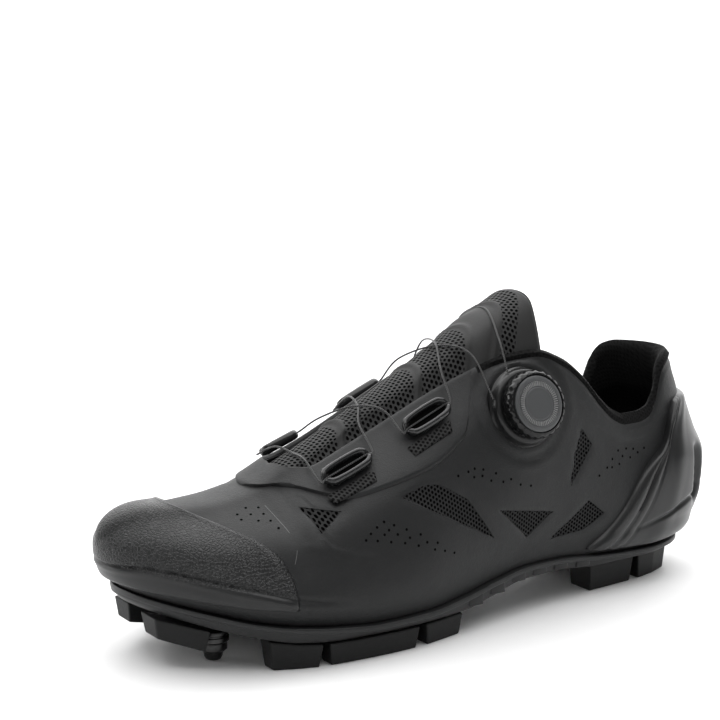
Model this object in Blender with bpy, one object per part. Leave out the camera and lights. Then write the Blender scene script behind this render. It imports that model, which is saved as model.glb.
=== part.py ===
"""Off-road cycling shoe for the left foot, empty and standing on its sole.

Lengths are in metres. +X points to the toe, +Y to the shoe's outer side and +Z up. The origin lies on the
floor, under the middle of the shoe's length and width.

The shoe's form is one function, last_point(u, v). u runs from the heel seam (0) to the toe tip (1), and v runs
across the shoe: +1 is the outer feather edge, 0 the ridge of the instep and -1 the inner feather edge. The
upper and all that lies on it are sheets between two offsets of that function.
"""

import math

import bmesh
import bpy
import numpy as np
from mathutils import Matrix, Vector

# Overall sizes
LENGTH = 0.288
BALL_WIDTH = 0.098
LEDGE_HEIGHT = 0.0145
TOE_SPRING = 0.0156
INSTEP_HEIGHT = 0.1125
NOSE_HEIGHT = 0.046
HEEL_LEAN = 0.008
HEEL_SPUR = 0.0085
TOE_TUCK = 0.0075
HEEL_ROUND = 0.038
TOE_ROUND = 0.068
TOE_DOME = 0.020
TOE_BLUNT = 0.25
MIDDLE_X = 0.0054
MIDDLE_Y = 0.0020

# Walls and clearances
GAP = 0.0003
WALL = 0.0020
COLLAR_PAD = 0.0040
COLLAR_PAD_DEPTH = 0.30
OVERLAY = 0.0009
OVERLAY_GAP = 0.0007
WINDOW_DEPTH = 0.0009
COUNTER_WALL = 0.0018
TOE_CAP_WALL = 0.0011
TONGUE_THICKNESS = 0.0050
TONGUE_EDGE = 0.0016
TONGUE_GAP = 0.0014
TONGUE_TOP = 0.328
TONGUE_FRONT = 0.785
TONGUE_ROUND = 0.012
TONGUE_WIDTH = 0.285
TONGUE_TAPER = 0.10
INSOLE_THICKNESS = 0.0040

# Sole
LEDGE_MARGIN = 0.0012
FLANGE = 0.0022
FLANGE_INSET = 0.0026
LUG_DRAFT = 0.0012
TAB_COUNT = 6
TAB_START = 0.262
TAB_END = 0.492
TAB_LENGTH = 0.0075
TAB_INSET = 0.0006
TAB_DEPTH = 0.0010
TAB_RISE = 0.0008
PLATE_THICKNESS = 0.0012
PLATE_LENGTH = 0.082
PLATE_WIDTH = 0.049
PLATE_PLACE = 0.648

# Cleat bolts and their slots
BOLT_SPREAD = 0.0078
BOLT_PITCH = 0.0125
BOLT_RADIUS = 0.0050
BOLT_HEAD = 0.0020
SHANK_RADIUS = 0.0024
SOCKET_RADIUS = 0.0024
SOCKET_DEPTH = 0.0013
SLOT_WIDTH = 0.0062
SLOT_LENGTH = 0.034

# Toe studs
STUD_RADIUS = 0.0066
STUD_HEIGHT = 0.0125
STUD_PLACE = 0.868
STUD_SPREAD = 0.43

# Dial, guides and wire
DIAL_PLACE = 0.388
DIAL_HEIGHT = 0.0897
DIAL_RADIUS = 0.0145
DIAL_BASE_RADIUS = 0.0160
DIAL_BASE_HEIGHT = 0.0040
KNOB_HEIGHT = 0.0068
CAP_RADIUS = 0.0118
CAP_HEIGHT = 0.0010
GUIDE_LENGTH = 0.0235
GUIDE_WIDTH = 0.0105
GUIDE_HEIGHT = 0.0046
GUIDE_BAR = 0.0026
WIRE_CHANNEL = 0.0026
WIRE_RADIUS = 0.0005
WIRE_LEVEL = 0.0021
WIRE_OVER_EDGE = 0.0024
WIRE_OVER_TONGUE = -0.0020
WIRE_FROM_DIAL = 0.020
WIRE_TO_DIAL = 0.050
WIRE_CROSSING = 0.0014

# A row for each section of the sole. Centre and half are shares of BALL_WIDTH, ledge of TOE_SPRING above
# LEDGE_HEIGHT, and under is the underside's height as a share of LEDGE_HEIGHT.
PLAN_COLUMNS = ("station", "centre", "half", "ledge", "under")
PLAN = (
    (0.000, 0.000, 0.300, 0.154, 0.860),
    (0.139, 0.005, 0.312, 0.154, 0.860),
    (0.222, 0.008, 0.324, 0.225, 0.860),
    (0.312, 0.022, 0.330, 0.380, 1.000),
    (0.385, 0.040, 0.347, 0.427, 1.020),
    (0.451, 0.050, 0.378, 0.308, 0.820),
    (0.514, 0.050, 0.418, 0.130, 0.650),
    (0.590, 0.046, 0.465, 0.012, 0.650),
    (0.670, 0.032, 0.492, 0.000, 0.650),
    (0.729, 0.020, 0.496, 0.083, 0.650),
    (0.792, 0.008, 0.480, 0.213, 0.730),
    (0.851, -0.003, 0.456, 0.390, 0.950),
    (0.906, -0.010, 0.428, 0.630, 1.220),
    (0.955, -0.022, 0.406, 0.830, 1.470),
    (1.000, -0.036, 0.390, 1.000, 1.680),
)

# A row for each section of the top line. Edge is the collar and throat line and ridge the instep over it, as
# shares of INSTEP_HEIGHT. Centre is the ridge's place, as a share of BALL_WIDTH.
TOP_COLUMNS = ("station", "edge", "ridge", "centre")
TOP = (
    (0.000, 0.915, 1.330, 0.000),
    (0.035, 0.915, 1.330, 0.000),
    (0.060, 0.900, 1.330, 0.000),
    (0.078, 0.860, 1.330, 0.000),
    (0.094, 0.765, 1.330, 0.000),
    (0.112, 0.716, 1.325, 0.000),
    (0.140, 0.702, 1.320, 0.004),
    (0.170, 0.703, 1.315, 0.008),
    (0.200, 0.730, 1.305, 0.010),
    (0.230, 0.790, 1.295, 0.014),
    (0.265, 0.884, 1.280, 0.018),
    (0.305, 0.960, 1.250, 0.022),
    (0.350, 1.000, 1.190, 0.024),
    (0.400, 0.985, 1.120, 0.026),
    (0.451, 0.938, 1.046, 0.026),
    (0.514, 0.872, 0.955, 0.028),
    (0.590, 0.780, 0.852, 0.030),
    (0.670, 0.684, 0.740, 0.026),
    (0.729, 0.618, 0.660, 0.016),
    (0.792, 0.548, 0.574, 0.000),
    (0.851, 0.518, 0.545, -0.014),
    (0.906, 0.505, 0.540, -0.022),
    (0.955, 0.505, 0.544, -0.032),
    (1.000, 0.502, 0.548, -0.040),
)

# A row for each section of the upper's sides, from the feather edge up, as shares of the ledge's half width
SIDE_COLUMNS = ("station", "feather", "low", "mid", "high", "edge")
SIDE = (
    (0.000, 0.955, 1.030, 1.040, 0.940, 0.860),
    (0.139, 0.955, 1.040, 1.050, 0.950, 0.880),
    (0.222, 0.955, 1.050, 1.060, 0.980, 0.920),
    (0.312, 0.955, 1.070, 1.090, 1.010, 0.850),
    (0.385, 0.955, 1.070, 1.080, 0.940, 0.680),
    (0.451, 0.955, 1.060, 1.040, 0.870, 0.510),
    (0.514, 0.955, 1.050, 1.000, 0.820, 0.400),
    (0.590, 0.960, 1.045, 0.985, 0.790, 0.320),
    (0.670, 0.960, 1.040, 0.965, 0.770, 0.280),
    (0.792, 0.960, 1.040, 0.965, 0.780, 0.320),
    (0.906, 0.960, 1.045, 0.980, 0.800, 0.400),
    (1.000, 0.960, 1.010, 0.975, 0.800, 0.440),
)

# A row for each line along the upper, from the feather edge up: its height between the ledge and the top edge,
# how far it follows the ridge's centre, and how it leans at the heel (share of HEEL_LEAN) and toe (of TOE_TUCK)
LINE_COLUMNS = ("height", "centring", "heel_lean", "toe_tuck")
LINES = (
    (0.00, 0.00, 0.35, -1.0),
    (0.20, 0.10, 0.00, -0.4),
    (0.46, 0.35, -0.25, -0.1),
    (0.76, 0.70, 0.20, 0.0),
    (1.00, 1.00, 1.00, 0.0),
)

# Windows: corners as shares of LENGTH along the shoe and of INSTEP_HEIGHT above the floor
OUTER_WINDOWS = (
    ((0.755, 0.534), (0.709, 0.522), (0.746, 0.456)),
    ((0.622, 0.549), (0.580, 0.580), (0.556, 0.574), (0.510, 0.505), (0.463, 0.342)),
    ((0.452, 0.442), (0.338, 0.385), (0.391, 0.307)),
    ((0.338, 0.272), (0.262, 0.396), (0.228, 0.331), (0.270, 0.280)),
    ((0.276, 0.682), (0.255, 0.612), (0.304, 0.468), (0.293, 0.598)),
)
INNER_WINDOWS = (
    ((0.745, 0.520), (0.700, 0.515), (0.736, 0.440)),
    ((0.615, 0.556), (0.572, 0.584), (0.546, 0.576), (0.500, 0.505), (0.452, 0.345)),
    ((0.430, 0.440), (0.335, 0.400), (0.385, 0.320)),
)

# The v of the eyestay's lower edge at each station
EYESTAY_COLUMNS = ("station", "low")
EYESTAY = (
    (0.450, 0.212),
    (0.500, 0.400),
    (0.555, 0.424),
    (0.600, 0.414),
    (0.645, 0.396),
    (0.690, 0.370),
    (0.715, 0.322),
    (0.740, 0.250),
    (0.762, 0.180),
    (0.779, 0.110),
    (0.787, 0.060),
    (0.792, 0.000),
)

# Where the toe cap begins at each v, and where the heel counter ends
TOE_LINE_COLUMNS = ("station", "start")
TOE_LINE = (
    (0.00, 0.905),
    (0.05, 0.903),
    (0.20, 0.877),
    (0.33, 0.845),
    (0.40, 0.825),
    (0.52, 0.806),
    (0.66, 0.798),
    (0.84, 0.796),
)
COUNTER_LINE_COLUMNS = ("station", "end")
COUNTER_LINE = (
    (0.40, 0.062),
    (0.44, 0.090),
    (0.49, 0.130),
    (0.56, 0.157),
    (0.71, 0.190),
    (0.83, 0.219),
    (0.91, 0.242),
    (0.97, 0.258),
)

# How far the heel counter stands out at each height, as shares of INSTEP_HEIGHT and HEEL_SPUR
SPUR_COLUMNS = ("station", "reach")
SPUR = (
    (0.14, 0.15),
    (0.22, 0.55),
    (0.34, 1.00),
    (0.48, 0.95),
    (0.58, 0.45),
    (0.70, 0.10),
    (0.80, 0.00),
)

# Lugs of the outer side. Start and end are shares of LENGTH, the other columns shares of the sole's half width, and
# hang is the height below the sole's underside, which the floor cuts off.
LUG_COLUMNS = ("name", "start", "end", "inner_start", "outer_start", "inner_end", "outer_end", "hang")
LUGS = (
    ("heel_lug_rear", 0.045, 0.128, 0.10, 0.74, 0.22, 0.80, 0.020),
    ("heel_lug_front", 0.140, 0.236, 0.30, 0.82, 0.36, 0.86, 0.020),
    ("ball_lug_rear", 0.516, 0.590, 0.86, 0.95, 0.60, 0.97, 0.020),
    ("ball_lug_edge", 0.602, 0.748, 0.78, 0.97, 0.77, 0.97, 0.020),
    ("ball_lug_front", 0.757, 0.826, 0.76, 0.97, 0.72, 0.93, 0.020),
    ("ball_lug_plate", 0.604, 0.790, 0.57, 0.69, 0.54, 0.64, 0.020),
    ("toe_lug", 0.896, 0.955, 0.34, 0.88, 0.22, 0.78, 0.0085),
)

# Wire guides: their place on the form, their length as a share of GUIDE_LENGTH, and what they stand on. The wire
# leaves the dial at its top, runs through them in this order, and comes back to the dial's toe side. Way is the
# wire's direction in a guide: 1 towards the toe, -1 towards the heel.
GUIDES = (
    ("guide_inner_upper", 0.394, -0.290, 1.0, "quarter", 1),
    ("guide_outer_upper", 0.542, 0.285, 1.0, "eyestay", 1),
    ("guide_inner_lower", 0.678, -0.285, 0.8, "eyestay", 1),
    ("guide_outer_lower", 0.674, 0.290, 1.0, "eyestay", -1),
    ("guide_inner_middle", 0.539, -0.290, 1.0, "eyestay", -1),
)
GUIDE_SEATS = {"quarter": 3 * GAP, "eyestay": OVERLAY_GAP + OVERLAY + 2 * GAP}

# The v of the section's points: five from the outer feather edge up to the top edge, the crown, the ridge and back
KNOTS = (1.0, 0.8, 0.6, 0.4, 0.2, 0.1, 0.0, -0.1, -0.2, -0.4, -0.6, -0.8, -1.0)
CROWN_WIDTH = 0.60
CROWN_HEIGHT = 0.80

THROAT_LINE = 0.2
THROAT_FRONT = 0.745
THROAT_BEND = 0.045
UPPER_SECTIONS = 38
THROAT_SECTIONS = (0.715, 0.728, 0.7375, 0.7435)
UPPER_ROWS = 10


class Table:
    """A short table with named columns, read as smooth curves over its station column."""

    def __init__(self, columns, rows):
        values = np.array(rows, float)
        self.stations = values[:, 0]
        self.columns = {name: values[:, i] for i, name in enumerate(columns)}

    def read(self, name, station):
        """The column's value at a station, on a curve that passes through every row."""
        x, y = self.stations, self.columns[name]
        station = min(x[-1], max(x[0], station))
        i = int(np.clip(np.searchsorted(x, station) - 1, 0, len(x) - 2))
        step = x[i + 1] - x[i]
        share = (station - x[i]) / step
        start = self.slope(x, y, i) * step
        end = self.slope(x, y, i + 1) * step
        a, b = share * share * (3 - 2 * share), share * (1 - share) ** 2
        c = share * share * (share - 1)
        return float(y[i] * (1 - a) + y[i + 1] * a + start * b + end * c)

    @staticmethod
    def slope(x, y, i):
        """The curve's slope at row i, which never overshoots a peak."""
        if i in (0, len(x) - 1):
            j = 0 if i == 0 else len(x) - 2
            return (y[j + 1] - y[j]) / (x[j + 1] - x[j])
        before = (y[i] - y[i - 1]) / (x[i] - x[i - 1])
        after = (y[i + 1] - y[i]) / (x[i + 1] - x[i])
        if before * after <= 0:
            return 0.0
        return 2 * before * after / (before + after)


PLAN_TABLE = Table(PLAN_COLUMNS, PLAN)
TOP_TABLE = Table(TOP_COLUMNS, TOP)
SIDE_TABLE = Table(SIDE_COLUMNS, SIDE)
EYESTAY_TABLE = Table(EYESTAY_COLUMNS, EYESTAY)
TOE_LINE_TABLE = Table(TOE_LINE_COLUMNS, TOE_LINE)
COUNTER_TABLE = Table(COUNTER_LINE_COLUMNS, COUNTER_LINE)
SPUR_TABLE = Table(SPUR_COLUMNS, SPUR)


def station_of(u):
    """The share of the length at u. Sections crowd together at the heel and toe, where the outline turns."""
    return (1 - math.cos(math.pi * u)) / 2


def u_of(station):
    """The u of a share of the length."""
    return math.acos(1 - 2 * min(1.0, max(0.0, station))) / math.pi


def ease(distance, reach):
    """A quarter ellipse: 0 at distance 0, and 1 from reach on."""
    share = min(1.0, max(0.0, distance / reach))
    return math.sqrt(max(0.0, 1 - (1 - share) ** 2))


def outline_round(station):
    """How far the outline has opened at a station, from 0 at the heel and toe to 1."""
    return ease(station * LENGTH, HEEL_ROUND) * ease((1 - station) * LENGTH, TOE_ROUND)


def half_width(station):
    """Half the ledge's width, with its round heel and toe."""
    return PLAN_TABLE.read("half", station) * BALL_WIDTH * outline_round(station)


def centre(station):
    """The sideways place of the ledge's middle."""
    return PLAN_TABLE.read("centre", station) * BALL_WIDTH - MIDDLE_Y


def ledge(station):
    """The height of the sole's ledge above the floor."""
    return LEDGE_HEIGHT + PLAN_TABLE.read("ledge", station) * TOE_SPRING


def underside(station):
    """The height of the sole plate's underside."""
    return PLAN_TABLE.read("under", station) * LEDGE_HEIGHT


def heel_fade(station):
    """1 at the heel seam, fading out towards the arch, for what leans only at the heel."""
    return max(0.0, 1 - station * LENGTH / (2 * HEEL_ROUND)) ** 2


def toe_fade(station):
    """1 at the toe tip, fading out over the toe cap."""
    return max(0.0, 1 - (1 - station) * LENGTH / TOE_ROUND) ** 2


def domed(height, station):
    """A height over the toe, which drops to the nose as the section closes."""
    if height <= NOSE_HEIGHT:
        return height
    rise = TOE_BLUNT + (1 - TOE_BLUNT) * ease((1 - station) * LENGTH, TOE_DOME)
    return NOSE_HEIGHT + (height - NOSE_HEIGHT) * rise


def section(u):
    """The points of the section at u, from the outer feather edge over the ridge to the inner one."""
    station = station_of(u)
    half, base = half_width(station), ledge(station) + GAP
    edge_height = TOP_TABLE.read("edge", station) * INSTEP_HEIGHT
    top_centre = TOP_TABLE.read("centre", station) * BALL_WIDTH - MIDDLE_Y
    x = MIDDLE_X + (station - 0.5) * LENGTH
    sides = []
    for side in (1, -1):
        points = []
        for name, row in zip(SIDE_COLUMNS[1:], LINES):
            height, centring, heel_lean, toe_tuck = row
            middle = centre(station) * (1 - centring) + top_centre * centring
            lean = heel_lean * HEEL_LEAN * heel_fade(station) + toe_tuck * TOE_TUCK * toe_fade(station)
            z = domed(base + height * (edge_height - base), station)
            y = middle + side * half * SIDE_TABLE.read(name, station)
            points.append((x + lean, y, z))
        sides.append(points)
    ridge_height = domed(TOP_TABLE.read("ridge", station) * INSTEP_HEIGHT, station)
    ridge = (x + HEEL_LEAN * heel_fade(station), top_centre, ridge_height)
    for points in sides:
        edge = points[-1]
        y = ridge[1] + (edge[1] - ridge[1]) * CROWN_WIDTH
        points.append((ridge[0], y, edge[2] + (ridge[2] - edge[2]) * CROWN_HEIGHT))
    return np.array(sides[0] + [ridge] + sides[1][::-1])


SECTIONS = {}


def last_point(u, v):
    """The point of the shoe's outer form at u along it and v across it."""
    key = round(u, 9)
    if key not in SECTIONS:
        SECTIONS[key] = section(u)
    points = SECTIONS[key]
    i = next((j for j in range(len(KNOTS) - 2) if v > KNOTS[j + 1]), len(KNOTS) - 2)
    step = KNOTS[i + 1] - KNOTS[i]
    share = (v - KNOTS[i]) / step
    start, end = slope(points, i) * step, slope(points, i + 1) * step
    a, b, c = share * share * (3 - 2 * share), share * (1 - share) ** 2, share * share * (share - 1)
    return points[i] * (1 - a) + points[i + 1] * a + start * b + end * c


def slope(points, i):
    """How the section's points change with v at knot i."""
    first, last = max(i - 1, 0), min(i + 1, len(KNOTS) - 1)
    return (points[last] - points[first]) / (KNOTS[last] - KNOTS[first])


def last_normal(u, v):
    """The outward direction of the shoe's form at u, v. On the seams at heel and toe both sides share it."""
    step = 1e-3
    if u < 1e-6 or u > 1 - 1e-6:
        down = last_point(u, min(1.0, abs(v) + step)) - last_point(u, max(0.0, abs(v) - step))
        normal = np.array((-down[2], 0.0, down[0])) * (1 if u > 0.5 else -1)
    else:
        along = last_point(min(1.0, u + step), v) - last_point(max(0.0, u - step), v)
        across = last_point(u, min(1.0, v + step)) - last_point(u, max(-1.0, v - step))
        normal = np.cross(along, across)
    return normal / max(1e-12, np.linalg.norm(normal))


def skin(u, v, offset):
    """The point at an offset outside the shoe's form, or inside it where the offset is negative."""
    return Vector(last_point(u, v) + last_normal(u, v) * offset)


def throat_edge(u):
    """The v of the upper's top edge: the collar and throat line, closing to the ridge in a round end at the vamp."""
    station = station_of(u)
    if station >= THROAT_FRONT:
        return 0.0
    share = max(0.0, (station - THROAT_FRONT + THROAT_BEND) / THROAT_BEND)
    return THROAT_LINE * math.sqrt(max(0.0, 1 - share * share))


def material(name, colour, roughness, metallic=0.0):
    """A plain finish for one kind of piece."""
    made = bpy.data.materials.new(name)
    made.use_nodes = True
    shader = made.node_tree.nodes["Principled BSDF"]
    shader.inputs["Base Color"].default_value = (*colour, 1.0)
    shader.inputs["Roughness"].default_value = roughness
    shader.inputs["Metallic"].default_value = metallic
    return made


def collection(name):
    """A new collection in the scene."""
    made = bpy.data.collections.new(name)
    bpy.context.scene.collection.children.link(made)
    return made


def is_flat(face):
    """Whether a face's corners lie in one plane."""
    face.normal_update()
    middle = face.calc_center_median()
    return all(abs((vert.co - middle).dot(face.normal)) < 1e-7 for vert in face.verts)


def finish(bm, name, finish_material, home):
    """Closes a mesh, points its faces outwards and links it as a named object.

    Two faces with the same corners enclose nothing, so both go.
    """
    bmesh.ops.remove_doubles(bm, verts=bm.verts, dist=1e-6)
    bmesh.ops.dissolve_degenerate(bm, edges=bm.edges, dist=1e-7)
    bent = [face for face in bm.faces if len(face.verts) == 4 and not is_flat(face)]
    bmesh.ops.triangulate(bm, faces=bent, quad_method="BEAUTY")
    twins = {}
    for face in bm.faces:
        twins.setdefault(frozenset(face.verts), []).append(face)
    folded = [face for faces in twins.values() if len(faces) > 1 for face in faces]
    bmesh.ops.delete(bm, geom=folded, context="FACES")
    bmesh.ops.recalc_face_normals(bm, faces=bm.faces)
    mesh = bpy.data.meshes.new(name)
    bm.to_mesh(mesh)
    bm.free()
    mesh.shade_smooth()
    mesh.set_sharp_from_angle(angle=math.radians(35))
    obj = bpy.data.objects.new(name, mesh)
    home.objects.link(obj)
    if finish_material:
        mesh.materials.append(finish_material)
    return obj


def cutter(obj):
    """Marks an object as a tool that only cuts others."""
    obj.hide_render = True
    obj.display_type = "WIRE"
    return obj


def cut(obj, tool, operation="DIFFERENCE"):
    """Cuts one object with another, exactly."""
    modifier = obj.modifiers.new(operation.lower(), "BOOLEAN")
    modifier.operation = operation
    modifier.object = tool
    modifier.solver = "EXACT"


def thicken(bm, outer, inner, on_seam=None):
    """Turns a flat sheet, drawn in its own two coordinates, into a closed wall between two places for each point.

    Side faces that lie on a seam, where the sheet meets itself, are left out.
    """
    sheet = set(bm.faces)
    made = bmesh.ops.extrude_face_region(bm, geom=list(bm.faces), use_keep_orig=True)
    raised = {item for item in made["geom"] if isinstance(item, bmesh.types.BMVert)}
    raised_faces = {item for item in made["geom"] if isinstance(item, bmesh.types.BMFace)}
    if on_seam:
        sides = [face for face in bm.faces if face not in sheet and face not in raised_faces]
        seams = [face for face in sides if all(on_seam(vert.co.x, vert.co.y) for vert in face.verts)]
        bmesh.ops.delete(bm, geom=seams, context="FACES")
    for vert in bm.verts:
        place = outer if vert in raised else inner
        vert.co = place(vert.co.x, vert.co.y)


def grid(bm, columns, rows, place):
    """Adds a flat grid whose point i, j lies at place(i / columns, j / rows) in the sheet's coordinates."""
    made = bmesh.ops.create_grid(bm, x_segments=columns, y_segments=rows, size=0.5)
    for vert in made["verts"]:
        a, b = place(vert.co.x + 0.5, vert.co.y + 0.5)
        vert.co = (a, b, 0)


def polygon_sheet(outline, spacing):
    """A flat sheet with a given outline, split along its first coordinate so that it can bend."""
    bm = bmesh.new()
    bm.faces.new([bm.verts.new((a, b, 0)) for a, b in outline])
    low, high = min(a for a, b in outline), max(a for a, b in outline)
    for i in range(1, int(math.ceil((high - low) / spacing))):
        geometry = bm.verts[:] + bm.edges[:] + bm.faces[:]
        bmesh.ops.bisect_plane(bm, geom=geometry, plane_co=(low + i * spacing, 0, 0), plane_no=(1, 0, 0))
    return bm


def loft(bm, rings, closed=False, caps=True):
    """Joins rings of points, each with as many points as the last, with a face at each end of an open loft."""
    loops = [[bm.verts.new(point) for point in ring] for ring in rings]
    pairs = list(zip(loops, loops[1:] + loops[:1])) if closed else list(zip(loops, loops[1:]))
    for first, second in pairs:
        for i in range(len(first)):
            j = (i + 1) % len(first)
            bm.faces.new((first[i], first[j], second[j], second[i]))
    if caps and not closed:
        bm.faces.new(loops[0][::-1])
        bm.faces.new(loops[-1])


def collar_padding(u, v):
    """How much thicker the wall is at v, where foam fills the collar."""
    station = station_of(u)
    fade = min(1.0, max(0.0, (0.315 - station) / 0.05))
    share = max(0.0, 1 - (abs(v) - THROAT_LINE) / COLLAR_PAD_DEPTH)
    swell = math.sin(math.pi * min(1.0, 0.25 + 0.5 * share)) if share else 0.0
    return COLLAR_PAD * fade * swell * min(1.0, share * 3)


def half_sheet(bm, side, columns, rows, reach, start=0.0, end=1.0):
    """Half of a sheet that runs round the shoe: v goes from reach(u)[0], near the sole, to reach(u)[1]."""

    def place(a, b):
        u = start + (end - start) * a
        low, high = reach(u)
        return u, side * (low + (high - low) * b)

    grid(bm, columns, rows, place)


def make_upper(home, finish_material):
    """The hollow upper, with its padded collar. More sections lie where the throat's front end is round."""
    bm = bmesh.new()
    cuts = sorted([i / UPPER_SECTIONS for i in range(UPPER_SECTIONS + 1)] + [u_of(s) for s in THROAT_SECTIONS])
    count = len(cuts) - 1
    for side in (1, -1):

        def place(a, b, side=side):
            u = cuts[round(a * count)]
            return u, side * (1 - (1 - throat_edge(u)) * b)

        grid(bm, count, UPPER_ROWS, place)
    thicken(bm, lambda u, v: skin(u, v, 0.0), lambda u, v: skin(u, v, -WALL - collar_padding(u, v)), on_seams)
    return finish(bm, "upper", finish_material, home)


def v_at(station, height, side):
    """The v on one side of the shoe where its form passes a height above the floor."""
    low, high = THROAT_LINE, 1.0
    for _ in range(24):
        v = (low + high) / 2
        if last_point(u_of(station), side * v)[2] > height:
            low = v
        else:
            high = v
    return side * v


def smooth_corners(corners, cut_back=0.12):
    """Replaces each corner of an outline by two points, a little before and after it."""
    points = []
    for i, corner in enumerate(corners):
        before, after = corners[i - 1], corners[(i + 1) % len(corners)]
        for other in (before, after):
            points.append(tuple(c + (o - c) * cut_back for c, o in zip(corner, other)))
    return points


def make_windows(tools):
    """The cutter for the shallow windows on both sides."""
    joined = bmesh.new()
    for side, windows in ((1, OUTER_WINDOWS), (-1, INNER_WINDOWS)):
        for corners in windows:
            outline = [
                (u_of(station), v_at(station, height * INSTEP_HEIGHT, side))
                for station, height in smooth_corners(corners)
            ]
            bm = polygon_sheet(outline, 0.02)
            thicken(bm, lambda u, v: skin(u, v, 0.002), lambda u, v: skin(u, v, -WINDOW_DEPTH))
            bmesh.ops.recalc_face_normals(bm, faces=bm.faces)
            mesh = bpy.data.meshes.new("window")
            bm.to_mesh(mesh)
            bm.free()
            joined.from_mesh(mesh)
    return cutter(finish(joined, "windows", None, tools))


def on_seams(u, v):
    """Whether a point lies where the two halves of a sheet meet: the heel seam, the toe tip or the ridge."""
    return u < 1e-6 or u > 1 - 1e-6 or abs(v) < 1e-6


def make_toe_cap(home, finish_material):
    """The toe cap, from the rand's crease over the toe to the vamp."""
    bm = bmesh.new()
    for side in (1, -1):

        def place(a, b, side=side):
            v = 0.84 * (1 - b)
            start = u_of(TOE_LINE_TABLE.read("start", v))
            return start + (1 - start) * a, side * v

        grid(bm, 10, 8, place)
    thicken(bm, lambda u, v: skin(u, v, OVERLAY_GAP + TOE_CAP_WALL), lambda u, v: skin(u, v, OVERLAY_GAP), on_seams)
    return finish(bm, "toe_cap", finish_material, home)


def spur(u, v):
    """How far the heel counter stands out at u, v beyond its wall."""
    height = last_point(u, v)[2] / INSTEP_HEIGHT
    fade = max(0.0, 1 - station_of(u) / 0.20)
    return HEEL_SPUR * SPUR_TABLE.read("reach", height) * fade * fade


def make_counter(home, finish_material):
    """The glossy heel counter, whose back stands out as a spur."""
    bm = bmesh.new()
    for side in (1, -1):

        def place(a, b, side=side):
            v = COUNTER_LINE[-1][0] + (COUNTER_LINE[0][0] - COUNTER_LINE[-1][0]) * b
            return u_of(COUNTER_TABLE.read("end", v)) * a, side * v

        grid(bm, 9, 10, place)

    def outer(u, v):
        return skin(u, v, OVERLAY_GAP + COUNTER_WALL + spur(u, v))

    thicken(bm, outer, lambda u, v: skin(u, v, OVERLAY_GAP), on_seams)
    return finish(bm, "heel_counter", finish_material, home)


def make_eyestay(home, finish_material):
    """The overlay that runs round the throat and meets itself on the vamp."""
    bm = bmesh.new()
    start, end = u_of(EYESTAY[0][0]), u_of(EYESTAY[-1][0])

    def reach(u):
        high = throat_edge(u) * 1.05
        return max(high, EYESTAY_TABLE.read("low", station_of(u))), high

    for side in (1, -1):
        half_sheet(bm, side, 18, 6, reach, start, end)
    thicken(bm, lambda u, v: skin(u, v, OVERLAY_GAP + OVERLAY), lambda u, v: skin(u, v, OVERLAY_GAP), on_seams)
    return finish(bm, "eyestay", finish_material, home)


def make_tongue(home, finish_material):
    """The padded tongue, which lines the throat and stands above it with a round top."""
    bm = bmesh.new()
    start, end = TONGUE_TOP, TONGUE_FRONT

    def place(a, b):
        v = 2 * b - 1
        station = start + TONGUE_ROUND * abs(v) ** 3 * (1 - a) ** 4
        station += (end - start) * a
        return u_of(station), (TONGUE_WIDTH - TONGUE_TAPER * a) * v

    grid(bm, 17, 8, place)

    def depth(u, v):
        a = max(0.0, (station_of(u) - start) / (end - start))
        edge = max(0.0, 1 - abs(v) / (TONGUE_WIDTH - TONGUE_TAPER * a)) ** 0.5
        tip = min(1.0, a / 0.10) ** 0.5
        return WALL + TONGUE_GAP + TONGUE_EDGE + (TONGUE_THICKNESS - TONGUE_EDGE) * edge * tip

    thicken(bm, lambda u, v: skin(u, v, -WALL - TONGUE_GAP), lambda u, v: skin(u, v, -depth(u, v)))
    return finish(bm, "tongue", finish_material, home)


def plan_point(station, share, height, shrink=0.0):
    """A point under the shoe: a share of the sole's half width across it."""
    half = half_width(station)
    y = centre(station) + share * half
    y -= math.copysign(min(shrink, abs(share) * half), share)
    return (MIDDLE_X + (station - 0.5) * LENGTH, y, height)


def make_sole(home, tools, finish_material):
    """The stiff sole plate: a thin ledge all round, over a body that is set in from it."""
    bm = bmesh.new()
    rings = []
    for i in range(UPPER_SECTIONS + 1):
        u = i / UPPER_SECTIONS
        station = station_of(u)
        lean = LINES[0][2] * HEEL_LEAN * heel_fade(station) + LINES[0][3] * TOE_TUCK * toe_fade(station)
        spread = (station - 0.5) * (LENGTH + 2 * LEDGE_MARGIN)
        x = MIDDLE_X + spread + lean
        inset_x = x - 2 * FLANGE_INSET * (station - 0.5)
        half = half_width(station) + LEDGE_MARGIN * outline_round(station)
        inset_half = max(0.0, half - FLANGE_INSET * outline_round(station))
        top, bottom, middle = ledge(station), underside(station), centre(station)
        ring = []
        for side in (1, -1):
            corners = [
                (x, middle + side * half, top),
                (x, middle + side * half, top - FLANGE),
                (inset_x, middle + side * inset_half, top - FLANGE * 1.2),
                (inset_x, middle + side * inset_half * 0.98, bottom),
            ]
            ring += corners[::side]
        rings.append(ring)
    loft(bm, rings, caps=False)
    sole = finish(bm, "sole_plate", finish_material, home)
    cut(sole, make_side_tabs(tools), "UNION")
    return sole


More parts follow.
